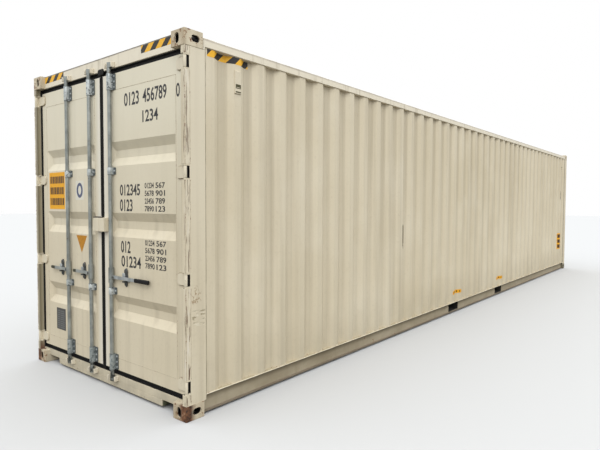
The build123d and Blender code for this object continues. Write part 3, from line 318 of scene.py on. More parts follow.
class Paint(Nodes):
    """Layers of colour on a node material, which FINISHES keeps under its name."""

    def __init__(self, name):
        FINISHES[name] = bpy.data.materials.new(name)
        super().__init__(FINISHES[name])
        self.surface = self.tree.nodes["Principled BSDF"].inputs
        self.coords = self.node("TexCoord", {}, "Object")
        split = self.tree.nodes.new("ShaderNodeSeparateXYZ")
        self.fill(split.inputs[0], self.coords)
        self.axes = split.outputs
        self.x, self.y, self.z = self.axes

    def noise(self, scale, detail=4, stretch=(1, 1, 1), move=(0, 0, 0), rough=0.5):
        place = self.node("Mapping", {"Scale": stretch, "Location": move, "Vector": self.coords})
        inputs = {"Scale": scale, "Detail": detail, "Roughness": rough, "Vector": place}
        return self.node("TexNoise", inputs, "Fac")

    def ramp(self, value, low, high, start=0.0, end=1.0):
        limits = {"From Min": low, "From Max": high, "To Min": start, "To Max": end}
        return self.node("MapRange", {"Value": value, **limits})

    def band(self, value, low, high, edge):
        """One between two values, falling to nought over the edge's width outside them."""
        rise = self.ramp(value, low - edge, low)
        return self.times(rise, self.ramp(value, high, high + edge, 1.0, 0.0))

    def times(self, *values):
        total = values[0]
        for value in values[1:]:
            total = self.math("MULTIPLY", total, value)
        return total

    def either(self, first, second):
        return self.math("MAXIMUM", first, second)

    def aside(self):
        """Distance from the container's middle plane."""
        return self.math("ABSOLUTE", self.y)

    def set_in(self):
        """Distance behind the front of the rear posts."""
        return self.math("ADD", self.x, -POST_FRONT)

    def right_side(self):
        """One on the right half of the container."""
        return self.ramp(self.y, -0.01, 0.01, 1, 0)

    def mix(self, share, first, second):
        return self.node("Mix", {0: share, 6: first, 7: second}, 2, data_type="RGBA")

    def blend(self, first, second, value, low, high, start=0.0, end=1.0):
        """From one colour to another as a value rises."""
        return self.mix(self.ramp(value, low, high, start, end), first, second)

    def lay(self, colour, share):
        """Lays a colour over the tone."""
        self.tone = self.mix(share, self.tone, colour)

    def cover(self, colour, value, low, high, start=0.0, end=1.0, where=None):
        """Lays a colour over the tone, as strongly as a ramp of a value and a mask say."""
        share = self.ramp(value, low, high, start, end)
        self.lay(colour, share if where is None else self.times(where, share))

    def rust(self, scale, limit, where=None):
        """Hard-edged rust over the tone."""
        spots = self.noise(scale, 8, rough=0.7, move=(8, 3, 1))
        rust = self.blend(RUST, RUST_DARK, spots, limit + 0.03, limit + 0.1)
        self.cover(rust, spots, limit, limit + 0.02, where=where)

    def bump(self, height, strength, distance):
        inputs = {"Strength": strength, "Distance": distance, "Height": height}
        self.fill(self.surface["Normal"], self.node("Bump", inputs))

    def finish(self, rough, metal=0.0, specular=0.5):
        self.fill(self.surface["Base Color"], self.tone)
        self.fill(self.surface["Roughness"], rough)
        self.fill(self.surface["Metallic"], metal)
        self.fill(self.surface["Specular IOR Level"], specular)

    def coat(self, low_rough=0.45, high_rough=0.6):
        """Finish of sprayed paint: an uneven sheen and a fine orange peel."""
        sheen = self.noise(2.6, 3, move=(6, 6, 1))
        self.finish(self.ramp(sheen, 0.3, 0.7, low_rough, high_rough))
        self.bump(self.noise(150.0, 3), 0.1, 0.0008)


def make_camera():
    yaw, pitch, roll = (radians(a) for a in (CAMERA_YAW, CAMERA_PITCH, CAMERA_ROLL))
    level = cos(pitch)
    ahead = Vector((cos(yaw) * level, sin(yaw) * level, sin(pitch)))
    right = Vector((sin(yaw), -cos(yaw), 0))
    up = right.cross(ahead)
    right_rolled = cos(roll) * right + sin(roll) * up
    up_rolled = cos(roll) * up - sin(roll) * right
    data = bpy.data.cameras.new("camera")
    data.lens = CAMERA_LENS
    data.sensor_width = CAMERA_SENSOR
    data.clip_end = CAMERA_REACH
    camera = bpy.data.objects.new("camera", data)
    bpy.context.scene.collection.objects.link(camera)
    turn = Matrix((right_rolled, up_rolled, -ahead)).transposed().to_4x4()
    camera.matrix_world = Matrix.Translation(CAMERA_PLACE) @ turn
    bpy.context.scene.camera = camera
    bpy.context.scene.view_settings.view_transform = "Standard"


def make_sky():
    """Overcast light that grows towards the zenith; the camera sees plain white."""
    world = bpy.data.worlds.new("world")
    bpy.context.scene.world = world
    sky = Nodes(world)
    sky.tree.nodes.clear()
    height = sky.node("SeparateXYZ", {0: sky.node("TexCoord", {}, "Generated")}, 2)
    limits = {"Value": height, "To Min": SKY_HORIZON, "To Max": SKY_ZENITH}
    strength = sky.node("MapRange", limits)
    light = sky.node("Background", {"Color": SKY_COLOUR, "Strength": strength})
    white = sky.node("Background", {"Color": WHITE, "Strength": 1.0})
    camera = sky.node("LightPath", {}, "Is Camera Ray")
    through = sky.node("LightPath", {}, "Is Transmission Ray")
    seen = sky.math("MAXIMUM", camera, through)
    out = sky.tree.nodes.new("ShaderNodeOutputWorld")
    sky.fill(out.inputs["Surface"], sky.node("MixShader", {0: seen, 1: light, 2: white}))


def make_sun():
    data = bpy.data.lights.new("soft_sun", "SUN")
    data.energy = SUN_STRENGTH
    data.angle = radians(SUN_ANGLE)
    lamp = bpy.data.objects.new("soft_sun", data)
    bpy.context.scene.collection.objects.link(lamp)
    lamp.rotation_euler = Vector(SUN_AHEAD).to_track_quat("-Z", "Y").to_euler()


def make_floor():
    """Floor that looks pale to the camera and throws back as little light as asphalt."""
    bpy.ops.mesh.primitive_plane_add(size=FLOOR_SIZE, location=(0, 0, FLOOR_HEIGHT))
    floor = bpy.context.object
    floor.name = "stage_floor"
    paint = Paint("stage_floor")
    camera = paint.node("LightPath", {}, "Is Camera Ray")
    paint.tone = paint.mix(camera, FLOOR_BOUNCE, FLOOR_SEEN)
    paint.finish(1.0, specular=0.0)
    floor.data.materials.append(FINISHES["stage_floor"])


def beige(name):
    """Beige paint with soft fading, fine mottle and rain streaks."""
    paint = Paint(name)
    paint.tone = paint.blend(BEIGE_DARK, BEIGE, paint.noise(0.6, 3), 0.35, 0.65)
    paint.cover(BEIGE_PALE, paint.noise(1.9, move=(4, 2, 7)), 0.5, 0.75, 0, 0.45)
    streaks = paint.noise(11.0, 5, (1, 1, 0.03), (1, 5, 2))
    paint.cover(GRIME_AND_SHADE, streaks, 0.5, 0.8, 0, 0.32)
    paint.cover(GRIME_AND_SHADE, paint.noise(38.0, move=(3, 1, 9)), 0.55, 0.8, 0, 0.12)
    return paint


def plain_paint(name, colour, share, scale, limit, *rough):
    paint = beige(name)
    paint.lay(colour, share)
    paint.rust(scale, limit)
    paint.coat(*rough)


def door_paint():
    """Door paint: lighter towards the top as painted light from above, and lighter beside the gap
    between the doors as a painted highlight on the stiles.
    """
    paint = beige("door_paint")
    paint.rust(30.0, 0.745)
    # Painted light: paler towards the top, where more light falls from above.
    paint.cover((222, 216, 196), paint.z, 1.2, 2.5, 0.0, 0.75)
    # Painted highlight: a paler band on the stiles beside the centre gap.
    paint.cover((226, 221, 210), paint.aside(), 0.060, 0.100, 0.6, 0)
    paint.coat()


def blade_paint():
    """Hinge blades: pale, with a near black painted shadow in the knuckle round the pin."""
    paint = beige("blade_paint")
    paint.lay((224, 216, 196), 0.3)
    paint.rust(60.0, 0.66)
    # Painted shadow: near black in the knuckle round the pin.
    outer = paint.ramp(paint.aside(), 1.1995, 1.2005)
    paint.cover(SHADE_BLACK, paint.set_in(), 0.015, 0.017, where=outer)
    paint.coat()


def guide_metal():
    """Rod guides: pale zinc barrels, partly a painted highlight, on base plates darkened as
    painted shade, and darker lower guides.
    """
    paint = Paint("guide_metal")
    cloud = paint.noise(16.0, 5, rough=0.6)
    # Pale zinc, partly the guides' own tone and partly a painted highlight on the barrels.
    paint.tone = paint.blend((160, 166, 166), (206, 211, 210), cloud, 0.35, 0.65)
    paint.cover((84, 90, 94), paint.noise(42.0, 2, move=(7, 2, 5)), 0.57, 0.61, 0, 0.8)
    paint.cover((112, 122, 120), paint.z, 0.3, 0.6, 0.5, 0)
    # Painted shade: the base plates next to the door darkened.
    paint.cover((92, 98, 98), paint.x, DOOR_FACE - 0.0085, DOOR_FACE - 0.0065)
    paint.finish(paint.ramp(cloud, 0.3, 0.7, 0.32, 0.5), metal=0.3)


def wall_paint():
    """Wall paint: valleys darkened towards the top as painted shade under the rail, a foot that
    darkens in patches, and scuffs on the right wall.
    """
    paint = beige("wall_paint")
    paint.rust(16.0, 0.76)
    # Darker towards the foot, in patches.
    paint.cover(GRIME_AND_SHADE, paint.z, 0.165, 0.6, 0.35, 0.0, paint.noise(6.0))
    # Painted shade: the valleys darkened towards the top, under the rail.
    valley = paint.band(paint.aside(), WALL_FACE - 0.040, WALL_FACE - 0.030, 0.006)
    paint.cover(GRIME_AND_SHADE, paint.z, 0.8, 2.6, 0.06, 0.26, valley)
    right = paint.right_side()
    for x, low, high in WALL_SCUFFS:
        along = paint.band(paint.x, x - 0.02, x + 0.02, 0.008)
        mark = paint.times(right, along, paint.band(paint.z, low, high, 0.03))
        blot = paint.noise(14.0, stretch=(1, 1, 0.7))
        paint.cover((112, 100, 78), blot, 0.42, 0.52, 0, 0.9, mark)
    paint.coat()


def header_paint():
    """Header and upper rails: paler than the body as painted light from above, with a grey top
    edge and drips.
    """
    paint = beige("header_paint")
    # Painted light: the header and upper rails paler, as lit from above.
    paint.lay((232, 224, 206), 0.7)
    rail = paint.ramp(paint.aside(), 1.19, 1.20)
    rail_top = paint.times(paint.ramp(paint.z, 2.842, 2.856), rail)
    top = paint.either(rail_top, paint.ramp(paint.z, HEADER_TOP - 0.012, HEADER_TOP - 0.006))
    paint.cover((158, 148, 136), paint.noise(5.0, 3), 0.2, 0.6, 0.3, 0.8, top)
    drips = paint.noise(20.0, 5, (1, 1, 0.15), (7, 7, 1))
    paint.cover(GRIME_AND_SHADE, drips, 0.55, 0.75, 0, 0.35)
    paint.coat()


def post_paint():
    """Post paint: flanks lighter higher up as painted light, returns and the inner part of the
    left post's front darkened as painted shade, painted shade near black in the hollows, a chipped
    front corner, rust low on the returns, and scuffs low on the right post.
    """
    paint = beige("post_paint")
    set_in, across = paint.set_in(), paint.aside()
    flank = paint.ramp(across, POST_SIDE - 0.002, POST_SIDE - 0.001)
    # Painted light: the flanks paler higher up.
    paint.cover(BEIGE_PALE, paint.z, 1.0, 1.9, 0, 0.55, flank)
    front = paint.ramp(set_in, 0.001, 0.003, 1, 0)
    chipped_corner(paint, set_in, flank, front)
    post_scuffs(paint, set_in)
    # Painted shade on the returns, darkest at the front next to the doors.
    returned = paint.ramp(across, POST_RETURN + 0.002, POST_RETURN + 0.004, 1, 0)
    paint.lay(paint.blend((116, 107, 84), (182, 172, 146), set_in, 0.004, 0.046), returned)
    # Painted shade on the inner part of the left post's front.
    face = paint.times(front, paint.ramp(paint.y, -0.01, 0.01))
    low, high = POST_SIDE - 0.022, POST_SIDE - 0.008
    paint.cover((118, 110, 90), paint.y, low, high, 0.75, 0, face)
    low, high = CASTING[2] + 0.02, CASTING[2] + 0.09
    paint.cover((104, 66, 52), paint.z, low, high, 0.8, 0, returned)
    # Painted shade: near black inside the posts' hollows.
    hollow = paint.band(set_in, 0.007, POST_DEPTH, 0.0005)
    sides = paint.band(across, POST_RETURN + 0.001, POST_SIDE - 0.001, 0.0005)
    paint.lay(SHADE_BLACK, paint.times(hollow, sides))
    paint.coat()


def chipped_corner(paint, set_in, flank, front):
    """Short upright chips and bare weld along the posts' front corner."""
    lines = paint.noise(60.0, 4, (1, 1, 0.075), (5, 9, 4), 0.6)
    near = paint.times(flank, paint.band(set_in, 0.0, 0.034, 0.012))
    edge = paint.times(front, paint.ramp(paint.aside(), 1.190, 1.200))
    worn = paint.times(paint.either(near, edge), paint.ramp(paint.z, 0.6, 1.3, 1.0, 0.75))
    paint.cover((98, 74, 58), lines, 0.54, 0.57, 0, 0.95, worn)
    paint.cover((222, 214, 200), lines, 0.40, 0.45, 0.8, 0, worn)


def post_scuffs(paint, set_in):
    """Rust outlines and dark scratches on the right post at the height of a lorry's bed."""
    right = paint.right_side()
    height = paint.band(paint.z, 0.89, 1.0, 0.02)
    smear = paint.times(right, height, paint.band(set_in, 0.06, 0.13, 0.02))
    blot = paint.noise(24.0, 3, (1, 1, 0.6), (2, 8, 4))
    ring = paint.math("ABSOLUTE", paint.math("SUBTRACT", blot, 0.5))
    paint.cover((140, 110, 74), ring, 0.0, 0.035, 0.9, 0, smear)
    height = paint.band(paint.z, 0.71, 0.82, 0.01)
    scrape = paint.times(right, height, paint.band(set_in, 0.06, 0.17, 0.02))
    lines = paint.noise(30.0, 4, (0.5, 1, 2.2), (6, 1, 2), 0.6)
    paint.cover((128, 116, 84), lines, 0.56, 0.60, 0, 0.7, scrape)
    paint.cover((226, 220, 204), lines, 0.38, 0.42, 0.5, 0, scrape)


def casting_paint():
    """Cast steel under worn paint: stains, rusty edges, darker lower castings at the far end, and
    insides painted near black as shade with some dirt.
    """
    paint = beige("casting_paint")
    paint.rust(24.0, 0.57)
    end = CASTING_LOW[0]
    stain = paint.noise(9.0, 5, (1, 1, 0.3), (2, 7, 5))
    face = paint.ramp(paint.x, end + 0.002, end + 0.02, 1.0, 0.35)
    paint.cover((150, 128, 98), stain, 0.36, 0.60, 0.10, 0.70, face)
    paint.cover((92, 90, 70), paint.z, 0.2, 0.3, 0.8, 0, paint.ramp(paint.x, 5.8, 5.9))
    low_end = paint.ramp(paint.x, end + 0.045, end + 0.095, 1, 0)
    outer = paint.ramp(paint.aside(), 1.120, 1.165)
    corner = paint.times(paint.ramp(paint.z, 0.2, 0.3, 1, 0), low_end, outer)
    flakes = paint.noise(26.0, 6, rough=0.7, move=(4, 4, 9))
    rust = paint.blend((128, 84, 54), (44, 29, 22), flakes, 0.38, 0.62)
    paint.cover(rust, flakes, 0.30, 0.42, 0.45, 1.0, corner)
    # Painted shade with some dirt: the castings' insides near black.
    along = paint.math("ABSOLUTE", paint.x)
    low = paint.band(paint.z, 0.010, CASTING[2] - 0.008, 0.001)
    high = paint.band(paint.z, CASTING_LOW[2] + 0.008, CASTING_HIGH[2] - 0.010, 0.001)
    inside = paint.times(
        paint.band(along, CASTING_END + 0.011, CASTING_HIGH[0] - 0.012, 0.001),
        paint.band(paint.aside(), CASTING_INNER + 0.011, CASTING_HIGH[1] - 0.012, 0.001),
        paint.either(low, high),
    )
    paint.lay(SHADE_BLACK, inside)
    paint.coat(0.55, 0.75)


def rail_paint():
    """Lower rails: mottled grime, painted shade that thickens under the flange and a painted
    shadow line at the web's foot, and a pale flange edge as a painted highlight with its top
    painted darker.
    """
    paint = beige("rail_paint")
    cloud = paint.noise(5.0, 6, (0.4, 1, 1), rough=0.6)
    paint.cover(GRIME_AND_SHADE, cloud, 0.25, 0.7, 0.45, 0.8)
    web = paint.ramp(paint.z, RAIL_TOP - 0.0055, RAIL_TOP - 0.0045, 1, 0)
    # Painted shade: the web darkens towards the top, under the flange.
    paint.cover((96, 84, 62), paint.z, 0.09, 0.150, 0.1, 0.72, web)
    # Painted shadow: a dark line along the web's foot.
    paint.cover((70, 56, 50), paint.z, 0.018, 0.030, 0.8, 0, web)
    paint.rust(12.0, 0.66, web)
    # Painted light: the flange's edge pale as a highlight, and its top face painted darker against
    # the sky light.
    edge = paint.blend((230, 221, 198), (204, 193, 168), cloud, 0.3, 0.6)
    low, high = RAIL_TOP - 0.0006, RAIL_TOP - 0.0003
    edge = paint.blend(edge, (172, 161, 134), paint.z, low, high)
    paint.tone = paint.mix(web, edge, paint.tone)
    paint.coat(0.6, 0.8)


def sill_paint():
    """Sill: greyed by boots and tyres, with rust under the keepers."""
    paint = beige("sill_paint")
    paint.cover((128, 124, 110), paint.noise(7.0, 5), 0.3, 0.7, 0.12, 0.42)
    paint.rust(30.0, 0.66)
    paint.coat(0.55, 0.75)


def zinc_metal(name, low, high, stain, foot_darkening):
    """Weathered zinc, with dark blotches below the door where their share isn't nought."""
    paint = Paint(name)
    cloud = paint.noise(9.0, 6, rough=0.6)
    paint.tone = paint.blend(low, high, cloud, 0.3, 0.7)
    streaks = paint.noise(22.0, 4, (1, 1, 0.08), (5, 1, 3))
    paint.cover((98, 101, 97), streaks, 0.5, 0.75, 0, 0.4)
    spots = paint.noise(30.0, 5, move=(2, 2, 2))
    paint.cover((104, 84, 66), spots, stain, stain + 0.08, 0, 0.6)
    foot = paint.ramp(paint.z, DOOR_LOW - 0.010, DOOR_LOW, foot_darkening, 0)
    paint.cover((52, 54, 50), paint.noise(36.0, 3, move=(1, 7, 3)), 0.40, 0.52, where=foot)
    paint.finish(paint.ramp(cloud, 0.3, 0.7, 0.36, 0.52), metal=0.6)
    paint.bump(paint.noise(220.0, 2), 0.08, 0.0005)


def handle_metal():
    """Zinc of the left door's handles, with an olive dip coat on their tips."""
    paint = Paint("handle_metal")
    cloud = paint.noise(9.0, 6, rough=0.6)
    paint.tone = paint.blend((138, 143, 141), (182, 186, 182), cloud, 0.3, 0.7)
    inner_tip = paint.band(paint.y, 0.445, 0.520, 0.006)
    paint.lay((66, 66, 50), paint.either(paint.ramp(paint.y, 0.855, 0.865), inner_tip))
    paint.finish(0.45, metal=0.4)


def black_rubber(name, low, high):
    paint = Paint(name)
    cloud = paint.noise(14.0)
    paint.tone = paint.blend(low, high, cloud, 0.3, 0.7)
    paint.finish(paint.ramp(cloud, 0.3, 0.7, 0.6, 0.8), specular=0.25)
    paint.bump(paint.noise(300.0, 2), 0.1, 0.0004)


def floor_wood():
    """Plywood boards across the floor, with dark seams."""
    paint = Paint("floor_wood")
    grain = paint.noise(3.0, 7, (9, 0.25, 9), rough=0.65)
    paint.tone = paint.blend((104, 68, 42), (150, 106, 68), grain, 0.35, 0.65)
    board = paint.math("FRACT", paint.times(paint.x, 1 / BOARD_WIDTH))
    seam = paint.either(paint.ramp(board, 0, 0.004, 1, 0), paint.ramp(board, 0.996, 1))
    paint.lay((34, 24, 18), seam)
    paint.finish(0.45)
    paint.bump(grain, 0.2, 0.001)


def underframe_coat():
    """Thick black coat with rust that breaks through."""
    paint = Paint("underframe_coat")
    paint.tone = paint.blend((30, 28, 26), (54, 50, 45), paint.noise(2.0, 6), 0.35, 0.65)
    paint.rust(8.0, 0.66)
    paint.finish(0.75)
    paint.bump(paint.noise(60.0), 0.3, 0.002)


def mark_film(name, tone, worn, rough=0.5):
    """Printed film, stencil paint and flat painted shade, each with a slightly worn tone."""
    paint = Paint(name)
    wear = paint.noise(45.0, 5, rough=0.65, move=(1, 2, 6))
    paint.tone = paint.blend(tone, worn, wear, 0.52, 0.72, 0, 0.7)
    paint.finish(rough)
    paint.bump(paint.noise(120.0, 2), 0.05, 0.0003)


def hazard_film(name, axis, sign, pitch, shift):
    """Yellow film with black bars that lean to the right, as seen from in front."""
    paint = Paint(name)
    along = paint.math("ADD", paint.times(paint.axes[axis], sign), shift)
    slope = paint.math("SUBTRACT", along, paint.z)
    phase = paint.math("FRACT", paint.times(slope, 1 / pitch))
    wear = paint.noise(24.0, 5, rough=0.6)
    yellow = paint.blend((236, 176, 18), (226, 178, 66), wear, 0.50, 0.78, 0, 0.5)
    black = paint.blend((22, 18, 16), (60, 50, 40), wear, 0.50, 0.78, 0, 0.4)
    paint.tone = paint.mix(paint.math("LESS_THAN", phase, 0.5), yellow, black)
    paint.finish(0.5)


def make_finishes():
    for make in (
        door_paint, blade_paint, guide_metal, wall_paint, header_paint, post_paint,
        casting_paint, rail_paint, sill_paint, handle_metal, floor_wood, underframe_coat,
    ):
        make()
    for make, table in (
        (plain_paint, PLAIN_PAINTS), (zinc_metal, ZINCS), (black_rubber, RUBBERS),
        (mark_film, FILMS), (hazard_film, HAZARDS),
    ):
        for name, values in table.items():
            make(name, *values)


def paint_nodes():
    """Gives each CAD node a finish of its own or its slot's."""
    own = {node: finish for finish, nodes in OWN_FINISH.items() for node in nodes}
    for part in frame["record"]["subparts"]:
        slot = part["material_slot"]
        finish = own.get(part["node"], SLOT_FINISHES.get(slot, slot))
        mesh = frame["nodes"][part["node"]].data
        mesh.materials.clear()
        mesh.materials.append(FINISHES[finish])


def soften_edges():
    """Rolled and cast edges catch the light: a small bevel on the CAD nodes' sharp edges."""
    for width, names in BEVELS.items():
        for name in names:
            node = frame["nodes"][name]
            weld = node.modifiers.new("weld", "WELD")
            weld.merge_threshold = 0.00005
            bevel = node.modifiers.new("bevel", "BEVEL")
            bevel.width = width
            bevel.segments = 2
            bevel.limit_method = "ANGLE"
            bevel.angle_limit = radians(40)
            bevel.use_clamp_overlap = True
            bevel.harden_normals = False


def facing(place, out):
    """Spot on an upright surface: its local Z points out and its local Y up."""
    out = Vector(out)
    up = Vector((0, 0, 1))
    return Matrix.Translation(place) @ Matrix((up.cross(out), up, out)).transposed().to_4x4()


def front_spot(y, z, face=DOOR_FACE):
    """Spot on a surface that looks out at the door end."""
    return facing((face, y, z), (-1, 0, 0))


def end_spots(x, y, low, high):
    """Spots on the lower and the upper end of a round bar, each facing out."""
    foot = Matrix.Translation((x, y, low)) @ Matrix.Rotation(pi, 4, "X")
    return foot, Matrix.Translation((x, y, high))


def box_outline(width, height, radius, steps=4):
    """Points round a rectangle with rounded corners, centred on nought."""
    points = []
    for corner, (across, up) in enumerate(((1, 1), (-1, 1), (-1, -1), (1, -1))):
        for step in range(steps + 1):
            angle = pi / 2 * (corner + step / steps)
            points.append((
                across * (width / 2 - radius) + radius * cos(angle),
                up * (height / 2 - radius) + radius * sin(angle),
            ))
    return points


def ring_outline(radius, steps, turn=0.0):
    angles = [turn + 2 * pi * k / steps for k in range(steps)]
    return [(radius * cos(angle), radius * sin(angle)) for angle in angles]


def add_skin(bm, rings):
    """Faces from each ring of points to the next."""
    for low, high in zip(rings, rings[1:]):
        for k in range(len(low)):
            bm.faces.new((low[k - 1], low[k], high[k], high[k - 1]))


def add_solid(bm, rings):
    """Closed solid from rings of points."""
    bm.faces.new(rings[0][::-1])
    bm.faces.new(rings[-1])
    add_skin(bm, rings)


def add_stack(bm, spot, outline, levels):
    """Closed solid from one outline at several levels, each (height, scale)."""
    add_solid(bm, [
        [bm.verts.new(spot @ Vector((x * scale, y * scale, height))) for x, y in outline]
        for height, scale in levels
    ])


def add_slab(bm, spot, outline, thickness=FILM, bevel=0.0):
    """Flat piece with an optional chamfer round its outer face."""
    reach = max(max(abs(x), abs(y)) for x, y in outline)
    levels = [(0.0, 1.0), (thickness - bevel, 1.0)]
    if bevel:
        levels.append((thickness, 1.0 - bevel / reach))
    add_stack(bm, spot, outline, levels)


def add_bolt(bm, spot, size):
    """Hex bolt head on a washer."""
    washer = [(0, 1.0), (size * 0.18, 1.0), (size * 0.24, 0.92)]
    add_stack(bm, spot, ring_outline(size * 1.25, 20), washer)
    head = [(size * 0.2, 1.0), (size * 0.72, 1.0), (size * 0.86, 0.84)]
    add_stack(bm, spot, ring_outline(size, 6, random.uniform(0, pi / 3)), head)


def add_rivet(bm, spot, size):
    dome = [(0, 1.0), (size * 0.3, 0.92), (size * 0.5, 0.7), (size * 0.6, 0.35)]
    add_stack(bm, spot, ring_outline(size, 14), dome)


def add_tube(bm, x, y, z, inner, outer, length, sides=28):
    """Upright ring of rectangular section."""
    rings = []
    for radius, height in ((inner, 0), (outer, 0), (outer, length), (inner, length)):
        outline = ring_outline(radius, sides)
        rings.append([bm.verts.new((x + dx, y + dy, z + height)) for dx, dy in outline])
    add_skin(bm, rings + rings[:1])


def even_points(corners, spacing):
    """Points at even steps along a line of corners."""
    points = [Vector(corners[0])]
    for start, end in zip(corners, corners[1:]):
        start, end = Vector(start), Vector(end)
        count = max(1, round((end - start).length / spacing))
        points += [start.lerp(end, (k + 1) / count) for k in range(count)]
    return points


def add_bead(bm, corners, radius, spacing=0.012, wobble=0.22, sides=6):
    """Weld bead: a tube of uneven thickness along a line, sunk halfway into its surface."""
    points = even_points(corners, spacing)
    angles = [2 * pi * k / sides for k in range(sides)]
    rings = []
    for k, point in enumerate(points):
        ahead = (points[min(k + 1, len(points) - 1)] - points[max(k - 1, 0)]).normalized()
        if rings:
            side = (side - ahead * side.dot(ahead)).normalized()
        else:
            side = ahead.orthogonal().normalized()
        over = ahead.cross(side)
        size = radius * (1 + random.uniform(-wobble, wobble))
        offsets = [size * (cos(a) * side + sin(a) * over) for a in angles]
        rings.append([bm.verts.new(point + offset) for offset in offsets])
    add_solid(bm, rings)


def upright(x, y, low, high):
    return [(x, y, low), (x, y, high)]


def add_piece(name, bm, finish, body="box", smooth=0.0, slot=None):
    """Makes a piece of what was built and lets it ride on a body."""
    mesh = bpy.data.meshes.new(name)
    bmesh.ops.recalc_face_normals(bm, faces=bm.faces)
    bm.to_mesh(mesh)
    bm.free()
    mesh.materials.append(FINISHES[finish])
    if smooth:
        mesh.shade_smooth()
        mesh.set_sharp_from_angle(angle=radians(smooth))
    piece = bpy.data.objects.new(name, mesh)
    bpy.context.scene.collection.objects.link(piece)
    slot = slot or FINISH_SLOTS.get(finish, "beige_paint")
    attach(piece, body)
    return piece


def add_welds(name, beads, finish="weld_paint", body="box"):
    """Piece of weld beads, each with its corners and shape."""
    bm = bmesh.new()
    for bead in beads:
        add_bead(bm, *bead)
    add_piece(name, bm, finish, body, SMOOTH_WELD)


def between_hinges(low, high):
    """Heights of the stretches that the hinge lugs leave free."""
    edges = [low]
    for height in HINGES:
        edges += [height - LUG_HALF, height + LUG_HALF]
    edges.append(high)
    return zip(edges[::2], edges[1::2])


def wall_folds():
    """Corners of the side walls' outer skin, each (x, depth), from the door end on."""
    pitch = WALL_CREST + WALL_VALLEY + 2 * WALL_SLOPE
    depth = WALL_HIGH[1] - WALL_LOW[1] - WALL_SHEET
    length = WALL_HIGH[0] - WALL_LOW[0]
    waves = int((length - 2 * WALL_END_FLAT + WALL_CREST) // pitch)
    x = WALL_LOW[0] + (length - waves * pitch + WALL_CREST) / 2
    folds = [(WALL_LOW[0], 0.0)]
    for _ in range(waves):
        valley = x + WALL_SLOPE
        rise = valley + WALL_VALLEY
        folds += [(x, 0.0), (valley, depth), (rise, depth), (rise + WALL_SLOPE, 0.0)]
        x += pitch
    return folds + [(WALL_HIGH[0], 0.0)]


def wall_depth(x):
    """How far the outer skin lies behind its crests at a place along the wall."""
    folds = wall_folds()
    for (start, first), (end, second) in zip(folds, folds[1:]):
        if start <= x <= end:
            return first + (second - first) * (x - start) / (end - start)


def add_wall_film(bm, start, end, low, high):
    """Thin film that follows the folds of the right wall."""
    rings = []
    for x in [start] + [x for x, _ in wall_folds() if start < x < end] + [end]:
        skin = wall_depth(x) - WALL_FACE
        face = skin - FILM
        section = ((skin, low), (skin, high), (face, high), (face, low))
        rings.append([bm.verts.new((x, y, z)) for y, z in section])
    add_solid(bm, rings)


def rod_fittings():
    """Bolts on the guides, bushes round the rods, end plugs and pivot rivets."""
    ends = (DOOR_LOW + END_GUIDE_INSET, DOOR_HIGH - END_GUIDE_INSET - END_GUIDE)
    guides = [(low, low + END_GUIDE) for low in ends]
    guides += [(middle - SMALL_GUIDE_HALF, middle + SMALL_GUIDE_HALF) for middle in SMALL_GUIDES]
    for name, (door, rod) in RODS.items():
        bolts, bushes = bmesh.new(), bmesh.new()
        for low in ends:
            for y in (rod.y - 0.042, rod.y + 0.042):
                for share in (0.16, 0.5, 0.84):
                    spot = front_spot(y, low + share * END_GUIDE, PLATE_FACE)
                    add_bolt(bolts, spot, 0.0075)
        for height in SMALL_GUIDES:
            for y in (rod.y - 0.036, rod.y + 0.036):
                add_bolt(bolts, front_spot(y, height, PLATE_FACE), 0.0085)
        for low, high in guides:
            for height in (low - 0.002, high):
                add_tube(bushes, rod.x, rod.y, height, 0.0174, 0.0205, 0.002)
        add_piece(f"{name}_guide_bolts", bolts, "bright_zinc", door)
        add_piece(
            f"{name}_guide_bushes", bushes, "seal_rubber", door, SMOOTH_TURNED, "grip_rubber"
        )
        hub_fittings(name, rod)


def hub_fittings(name, rod):
    """Plugs in the rod's ends, a rivet through the handle's pivot and collars round the hub."""
    low, high = box_of(f"{name}_rod")
    bm = bmesh.new()
    plug = [(-0.006, 1.0), (0.0, 1.0), (0.0015, 0.8)]
    for spot in end_spots(rod.x, rod.y, low.z + 0.002, high.z - 0.002):
        add_stack(bm, spot, ring_outline(0.0139, 20), plug)
    pivot = joint_place(f"{name}_handle_lift")
    for side in SIDES:
        spot = facing((rod.x + side * 0.011, pivot.y, pivot.z), (side, 0, 0))
        add_stack(bm, spot, ring_outline(0.010, 16), [(0, 1.0), (0.002, 0.95), (0.0035, 0.6)])
    add_piece(f"{name}_rivets", bm, "dark_zinc", f"{name}_rod", SMOOTH_TURNED)
    bm = bmesh.new()
    collar = 0.006
    for height in (HUB[0], HUB[1] - collar):
        add_tube(bm, rod.x, rod.y, height, 0.0200, 0.0228, collar)
    add_piece(f"{name}_hub_rings", bm, "dark_zinc", f"{name}_rod", SMOOTH_TURNED)


